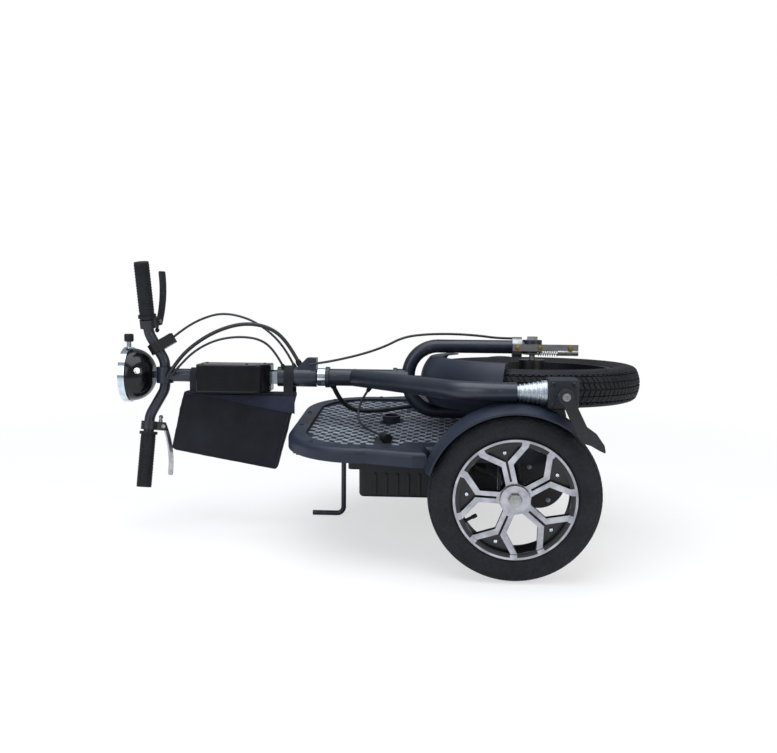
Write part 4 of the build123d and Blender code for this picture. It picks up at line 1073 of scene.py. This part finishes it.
# %% Bag sizes
PIPING_R, STITCH_PITCH = 1.7, 4.4
FLAP_ENDS = (496, 728)
BAG_CORNERS = [(736, 29.3), (490, 29.3), (534, 200.3), (766, 160.3)]   # up the steering, down from the stem
BAG_MIDDLE, BAG_HALF = -6, 26
BAG_INSET, BAG_SLACK, BAG_LIMIT = 3, 9, 9   # start inside the outline, inside the faces, furthest move
BAG_RIM = 7                                 # the sewn rim, which the cloth keeps still
BAG_VOXEL, BAG_FRAMES = 5, 20
CREASE, CREASE_FADE = 3.2, 18   # depth of the folds, and where they begin below the top edge
FLAP_EDGE = [(494, 77), (540, 69), (590, 60), (650, 47), (697, 40), (730, 35)]
FLAP_TOP, FLAP_OUT = 39, 2.2
FLAP_COLUMNS, FLAP_ROWS = 40, 7
STRAPS = {"low": (510, 22.4), "high": (712, 15.4)}   # place up the steering, inner radius round the stem
STRAP_W, STRAP_T, STRAP_FOOT, STRAP_BENDS = 20, 1.6, 9, 16


# %% Bag cloth
def inset(corners, gap):
    """The corners of a convex outline moved inwards by a gap."""
    moved = []
    for i, corner in enumerate(corners):
        here = Vector(corner)
        one = (here - Vector(corners[i - 1])).normalized()
        two = (Vector(corners[(i + 1) % len(corners)]) - here).normalized()
        moved.append(here + (two - one).normalized() * gap / ((1 + one.dot(two)) / 2) ** 0.5)
    return moved


def bag_shell():
    """The closed shell that the bag starts from, in even small faces."""
    half = BAG_HALF - BAG_SLACK
    outline = inset(BAG_CORNERS, BAG_INSET)
    verts = [front(BAG_MIDDLE + side * half, y, z) for side in (-1, 1) for z, y in outline]
    faces = [(0, 1, 2, 3), (7, 6, 5, 4)] + ring_faces(2, 4)
    holder = placed("bag_shell", mesh_of("bag_shell", verts, faces))
    remesh = holder.modifiers.new("even", "REMESH")
    remesh.mode = "VOXEL"
    remesh.voxel_size = BAG_VOXEL * MM
    made = evaluated(holder)
    bpy.data.objects.remove(holder)
    return made


def blown_up(mesh):
    """The shell after some frames under pressure, each point held near its start."""
    holder = placed("bag_cloth", mesh)
    start = [vert.co.copy() for vert in mesh.vertices]
    back = FRONT.inverted()
    rim = holder.vertex_groups.new(name="rim")
    inside = inset(BAG_CORNERS, BAG_RIM)
    for vert in mesh.vertices:
        _, y, z = (back @ vert.co) / MM
        gaps = [(Vector((z, y)) - here).cross((there - here).normalized())
                for here, there in zip(inside, inside[1:] + inside[:1])]
        if max(gaps) > 0:
            rim.add([vert.index], 1.0, "REPLACE")
    cloth = holder.modifiers.new("cloth", "CLOTH").settings
    cloth.vertex_group_mass = "rim"
    cloth.quality = 6
    cloth.use_pressure = True
    cloth.uniform_pressure_force = 4
    cloth.bending_stiffness = 0.4
    cloth.effector_weights.gravity = 0
    for step in range(1, BAG_FRAMES + 1):
        bpy.context.scene.frame_set(step)
    made = evaluated(holder)
    bpy.context.scene.frame_set(1)
    bpy.data.objects.remove(holder)
    for vert, was in zip(made.vertices, start):
        move = vert.co - was
        if move.length > BAG_LIMIT * MM:
            vert.co = was + move.normalized() * BAG_LIMIT * MM
    return made


def creased(mesh):
    """Soft folds that run down from the straps, and one finer subdivision."""
    back = FRONT.inverted()
    for vert in mesh.vertices:
        x, y, z = (back @ vert.co) / MM
        fold = field(Vector((z * 0.018 + y * 0.012, y * 0.007, x * 0.02)))
        fine = field(Vector((z * 0.05 - y * 0.03, y * 0.028, x * 0.05 + 7)))
        share = min(1.0, max(0.0, (y - BAG_CORNERS[0][1]) / CREASE_FADE - 0.2))
        vert.co += vert.normal * (0.75 * fold + 0.25 * fine) * share * CREASE * MM
    holder = placed("bag_creased", mesh)
    finer = holder.modifiers.new("finer", "SUBSURF")
    finer.levels = 1
    made = evaluated(holder)
    bpy.data.objects.remove(holder)
    return smooth(made, 180)


bag_mesh = creased(blown_up(bag_shell()))
bag = add("carry_bag_cloth", bag_mesh, bag_cloth, "steering")
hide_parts("carry_bag")
print("Faces of the bag:", len(bag_mesh.polygons))
bag_tree = search_tree(bag_mesh)


def on_bag(z, y, proud, side=-1):
    """The place on the bag's near or far face at a height, standing proud of it by some mm."""
    start = front(BAG_MIDDLE + side * 90, y, z)
    towards = (front(BAG_MIDDLE, y, z) - start).normalized()
    hit = bag_tree.ray_cast(start, towards)[0]
    hit = hit if hit is not None else front(BAG_MIDDLE + side * (BAG_HALF - BAG_SLACK), y, z)
    return hit - towards * proud * MM


# %% Flap, piping, stitches and straps
def flap_low(z):
    """How far down the flap's edge lies at a place along the bag."""
    for (z0, y0), (z1, y1) in zip(FLAP_EDGE, FLAP_EDGE[1:]):
        if z <= z1:
            return y0 + (y1 - y0) * (z - z0) / (z1 - z0)
    return FLAP_EDGE[-1][1]


def flap():
    """The flap that folds over the top of the near face."""
    low, high = FLAP_ENDS
    runs = [low + (high - low) * step / FLAP_COLUMNS for step in range(FLAP_COLUMNS + 1)]
    shares = [step / FLAP_ROWS for step in range(FLAP_ROWS + 1)]
    grid = [[(z, FLAP_TOP + (flap_low(z) - FLAP_TOP) * share) for share in shares] for z in runs]
    outer, inner = ([[on_bag(z, y, proud) for z, y in row] for row in grid] for proud in (FLAP_OUT, SUNK))
    return slab("bag_flap", outer, inner)


def edge_line(corners, gap, side, proud, steps=30):
    """Places on a face of the bag along an outline inside its edge."""
    outline = inset(corners, gap)
    places = []
    for i, here in enumerate(outline):
        there = outline[(i + 1) % len(outline)]
        places += [here.lerp(there, step / steps) for step in range(steps)]
    return [on_bag(z, y, proud, side) for z, y in places]


def strap(name, z, radius):
    """A webbing loop round the stem whose two ends are sewn to the bag."""
    foot = BAG_CORNERS[0][1] + STRAP_FOOT
    turns = [pi * step / STRAP_BENDS for step in range(STRAP_BENDS + 1)]
    bend = [(-radius * cos(turn), -radius * sin(turn)) for turn in turns]
    inner_path = [(-radius, foot)] + bend + [(radius, foot)]
    grow = (radius + STRAP_T) / radius
    outer_path = [(x * grow, y * grow if y < 0 else y) for x, y in inner_path]
    ends = [z - STRAP_W / 2 + STRAP_W * s / 4 for s in range(5)]
    grids = [[[front(x, y, along) for along in ends] for x, y in path] for path in (outer_path, inner_path)]
    return slab(name, *grids)


# The flap's lighter, bluer cloth is a painted sheen on the bag's black nylon.
add("bag_flap", flap(), flap_cloth_painted_sheen, "steering")
for side, name in ((-1, "near"), (1, "far")):
    line = edge_line(BAG_CORNERS, BAG_INSET + 2.5, side, 0.4)
    cord = piped(f"bag_piping_{name}", line, PIPING_R, closed=True)
    add(f"bag_piping_{name}", cord, webbing, "steering")
hem = [on_bag(z, flap_low(z) - 3, 2.3) for z in range(FLAP_ENDS[0] + 2, FLAP_ENDS[1], 3)]
seam = edge_line(BAG_CORNERS, BAG_INSET + 8, -1, 0.2)
stitch = cap_turned("stitch", [(0.2, -1.5, 0), (0.45, -1.0, 0), (0.45, 1.0, 0), (0.2, 1.5, 0)], 8)
stitch_spots = [(at, facing(way)) for line in (hem, seam) for at, way in along_line(line, STITCH_PITCH)]
scatter("bag_stitches", stitch, stitch_spots, webbing, "steering")
for name, (z, radius) in STRAPS.items():
    add(f"bag_strap_{name}", strap(f"bag_strap_{name}", z, radius), webbing, "steering")
print("Stitches:", len(stitch_spots))


# %% [markdown]
# ## Small hardware
# Screws and bolts hold the real trike together, ribs stiffen its battery case, and grommets guard its
# cables. Screws could be placed by eye, but they would soon float or sink. They are tables of places and
# directions instead, and a ray from each place finds the surface that the screw stands on. What sits
# round the bar, the cone, the brake or a cable is placed from the axes of that piece.


# %% Seats for small pieces
def seated(cad_node, axes_matrix, table):
    """Spots where rays meet a node. The places, in mm, and directions are in some axes."""
    tree = search_tree(nodes[cad_node].data)
    turn = axes_matrix.to_3x3()
    hits = [tree.ray_cast(axes_matrix @ (Vector(place) * MM), turn @ Vector(way)) for place, way in table]
    return [(place, facing(normal)) for place, normal, _, _ in hits]


def rib_bar(name, length, width, height):
    """A low rib with bevelled edges, along Y, on Z = 0."""
    verts = []
    layers = [(length, width, -SUNK), (length, width, 0.6 * height), (length - width, 0.4 * width, height)]
    corners = ((-1, -1), (1, -1), (1, 1), (-1, 1))
    for along, across, up in layers:
        verts += [Vector((x * across / 2, y * along / 2, up)) * MM for x, y in corners]
    return mesh_of(name, verts, ring_faces(3, 4) + [(8, 9, 10, 11)])


# %% Levers, grips and lamp
BAR_END, BAR_KINK = (-28, 235, 820), (0, 88, 814)   # of the left half of the bar, in the front section's axes
GRIP_R, GRIP_RUN, RIB_PITCH = 15.5, 102, 6
PERCH_IN, PERCH_HALF = 128, 9                       # lever clamp: in from the bar's end, half its width
PIVOT_OUT, PIVOT_HALF = 29, 6.5
LEVERS = {"left": (1, 60), "right": (-1, -30)}      # side, turn round the bar in degrees


def grip_axes(side):
    """Axes at the bar's end: X ahead, Z outwards along the grip."""
    end, kink = (Vector((x, side * y, z)) * MM for x, y, z in (BAR_END, BAR_KINK))
    out = (end - kink).normalized()
    ahead = (Vector((1, 0, 0)) - out * out.x).normalized()
    return FRONT @ axes(ahead, out.cross(ahead), out, end)


def blade_rule(side):
    """Faces beyond the clamp belong to the lever's blade."""
    back = grip_axes(side).inverted()
    return lambda middle, normal: (back @ middle).z > (PERCH_HALF + 0.2 - PERCH_IN) * MM


lever = two_tone("brake_lever_left_blade", "brake_lever_left", lever_paint, brushed_alloy, blade_rule(1))
bowl = two_tone("lamp_bowl", "lamp", gloss_plastic, reflector,
                lambda middle, normal: normal.dot(steering_up) > 0.9)
low_r, high_r = GRIP_R - SUNK, GRIP_R + 0.7
grip_rib = lathe("grip_rib", [(low_r, -1.7), (high_r, -0.9), (high_r, 0.9), (low_r, 1.7)], 32)
barrel = [(4.2, -1, 0), (4.2, 5, 0), (3.2, 5.4, 0), (3.2, 8, 0), (5, 8, 6), (5, 12, 6), (2.6, 15, 0)]
adjuster = cap_turned("adjuster", barrel, 24)
for name, (side, turn) in LEVERS.items():
    spots = spotted(grip_axes(side), [((0, 0, -along), (0, 0, 1)) for along in range(3, GRIP_RUN, RIB_PITCH)])
    ribs = smooth(copies(f"grip_ribs_{name}", grip_rib, spots, grip_rubber))
    add(f"grip_ribs_{name}", ribs, None, "steering")
    around = grip_axes(side) @ Matrix.Rotation(radians(turn), 4, "Z")
    ends = [((PIVOT_OUT, up * PIVOT_HALF, -PERCH_IN), (0, up, 0)) for up in (1, -1)]
    bolt = hex_head("lever_bolt", 3.4, 3)
    scatter(f"lever_bolts_{name}", bolt, spotted(around, ends), bare_steel, "steering")
    foot = spotted(around, [((PIVOT_OUT - 5, 0, -PERCH_IN - PERCH_HALF), (0, 0, -1))])
    plating = bare_steel if name == "left" else lever_paint
    scatter(f"lever_adjuster_{name}", adjuster, foot, plating, "steering")
    print("Ribs on the grip,", name + ":", len(spots))


# %% Clip at the console's lower end
CLIP_X, CLIP_T = -22, 2
CLIP_Y, CLIP_Z = (-12, 14), (533, 547)
clip = [[[front(x, y, z) for z in CLIP_Z] for y in CLIP_Y] for x in (CLIP_X - CLIP_T, CLIP_X)]
add("console_clip", slab("console_clip", *clip), chrome, "steering")
print("Clip, in mm:", CLIP_T, "by", CLIP_Y[1] - CLIP_Y[0], "by", CLIP_Z[1] - CLIP_Z[0])


# %% Screws and bolts
FENDER_MID, AXLE_Z, FENDER_OUT = 285, 161.5, 260
FENDER_ANGLES = (28, 125)
MOTOR_X, MOTOR_Z, MOTOR_BOLT_R = -62, 131.5, 40
DECK_SCREWS = [(430, 60), (391, 205), (285, 244)]
CONSOLE_SCREWS = [(-20, 560), (-20, 683), (-60, 683), (-52, 592)]


def fender_rays(side):
    """Rays down onto a fender's crown."""
    ways = [(cos(radians(angle)), sin(radians(angle))) for angle in FENDER_ANGLES]
    return [((FENDER_OUT * c, side * FENDER_MID, AXLE_Z + FENDER_OUT * s), (-c, 0, -s)) for c, s in ways]


motor_turns = [tau * step / 6 for step in range(6)]
motor_rays = [((MOTOR_X + MOTOR_BOLT_R * cos(turn), 300, MOTOR_Z + MOTOR_BOLT_R * sin(turn)), (0, -1, 0))
              for turn in motor_turns]
SCREWS = {
    # name: (node, axes, head, material, rays)
    "deck_screws": ("deck_shell", DECK, socket_screw("deck_screw", 4.5, 2.2), motor_paint,
                    [((x, side * y, 400), (0, 0, -1)) for x, y in DECK_SCREWS for side in (1, -1)]),
    "fender_left_screws": ("fender_left", DECK, socket_screw("fender_screw", 4.2, 2), motor_paint,
                           fender_rays(1)),
    "fender_right_screws": ("fender_right", DECK, socket_screw("fender_screw", 4.2, 2), motor_paint,
                            fender_rays(-1)),
    "motor_bolts": ("drive_motor", DECK, hex_head("motor_bolt", 4, 3.4), bare_steel, motor_rays),
    "console_screws": ("console", FRONT, socket_screw("console_screw", 3, 1.4), lever_paint,
                       [((x, -300, z), (0, 1, 0)) for x, z in CONSOLE_SCREWS]),
    "coupling_screws": ("coupling_block", FRONT, socket_screw("coupling_screw", 4, 2.4), lever_paint,
                        [((-500, y, z), (1, 0, 0)) for y in (-19, 19) for z in (-53, -15)]),
    "coupling_bolt": ("coupling_block", FRONT, hex_head("coupling_bolt_head", 6, 4), bare_steel,
                      [((-500, 0, -34), (1, 0, 0))]),
    "lamp_bolts": ("lamp", FRONT, hex_head("lamp_bolt", 5, 4), chrome,
                   [((side * 200, -12, 826), (-side, 0, 0)) for side in (-1, 1)]),
    "brake_bolts": ("front_brake", FRONT, hex_head("brake_bolt", 4.4, 4), brass,
                    [((-300, -69, z), (1, 0, 0)) for z in (32, -14, -76)]),
}
for name, (cad_node, around, head, material, rays) in SCREWS.items():
    scatter(name, head, seated(cad_node, around, rays), material, nodes[cad_node]["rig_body"])
    print(name + ":", len(rays))


# %% Battery ribs, cone rings, brake spring and grommets
BATTERY_RIBS = [((92 + 22 * step, 400, 140), (0, -1, 0)) for step in range(9)]
BATTERY_RIBS += [((400, -88 + 22 * step, 140), (-1, 0, 0)) for step in range(9)]
CONE_X, CONE_FOOT, CONE_PITCH, CONE_RINGS = -265, 0, 8, 6
CONE_LARGE, CONE_FALL = 21, 1.4                     # radius at the flange, and how much smaller each ring is
SPRING_AT, SPRING_R, SPRING_TURNS, SPRING_STEPS = (-25, -56.6), 4.2, 9, 12
WIRE_R = 0.8
SPRING_LOW, SPRING_HIGH = -50, -8
GROMMET = [(0.4, -7), (1.8, -7), (2.4, -1), (1.4, 6), (0.4, 6)]   # beyond the cable's radius, along it
GROMMETS = {"thick_harness_cable": 0, "thin_lead_cable": 0, "bundled_cable": -1, "flat_loop_cable": -1,
            "high_loop_cable": -1}                  # cable, and which of its ends has a rubber collar

rib = rib_bar("battery_rib", 46, 6, 2)
rib_spots = seated("battery_box", DECK, BATTERY_RIBS)
scatter("battery_ribs", rib, rib_spots, case_plastic, "chassis")
rings = []
for ring in range(CONE_RINGS):
    low, r = CONE_FOOT + CONE_PITCH * ring, CONE_LARGE - CONE_FALL * ring
    ridge = [(r - 1, low), (r + 1.4, low + 0.8), (r + 1.4, low + 3.8), (r - 1.2, low + 4.6)]
    rings.append(lathe("cone_ring", ridge, 48))
add("cone_rings", smooth(joined("cone_rings", rings)), cast_alloy, "front_frame",
    FRONT @ Matrix.Translation((CONE_X * MM, 0, 0)))
coil = []
for step in range(SPRING_STEPS * SPRING_TURNS + 1):
    angle = tau * step / SPRING_STEPS
    rise = SPRING_LOW + (SPRING_HIGH - SPRING_LOW) * step / (SPRING_STEPS * SPRING_TURNS)
    coil.append(front(SPRING_AT[0] + SPRING_R * cos(angle), SPRING_AT[1] + SPRING_R * sin(angle), rise))
add("brake_spring", piped("brake_spring", coil, WIRE_R, 6), bare_steel, "steering")
inner = [front(*SPRING_AT, SPRING_LOW - 6), front(*SPRING_AT, SPRING_HIGH + 30)]
inner_wire = piped("brake_inner_wire", inner, WIRE_R, 8)
add("brake_inner_wire", inner_wire, bare_steel, "steering")
for name, end in GROMMETS.items():
    body, radius = CORDS[name][:2]
    line = cord_lines[name] if end == 0 else cord_lines[name][::-1]
    outline = [(radius + out, along) for out, along in GROMMET]
    spot = (line[0], facing(line[1] - line[0]))
    collar = copies(name + "_grommet", lathe("grommet", outline, 28), [spot], grip_rubber)
    add(name + "_grommet", smooth(collar), None, body)
print("Ribs on the battery:", len(BATTERY_RIBS), "grommets:", len(GROMMETS))
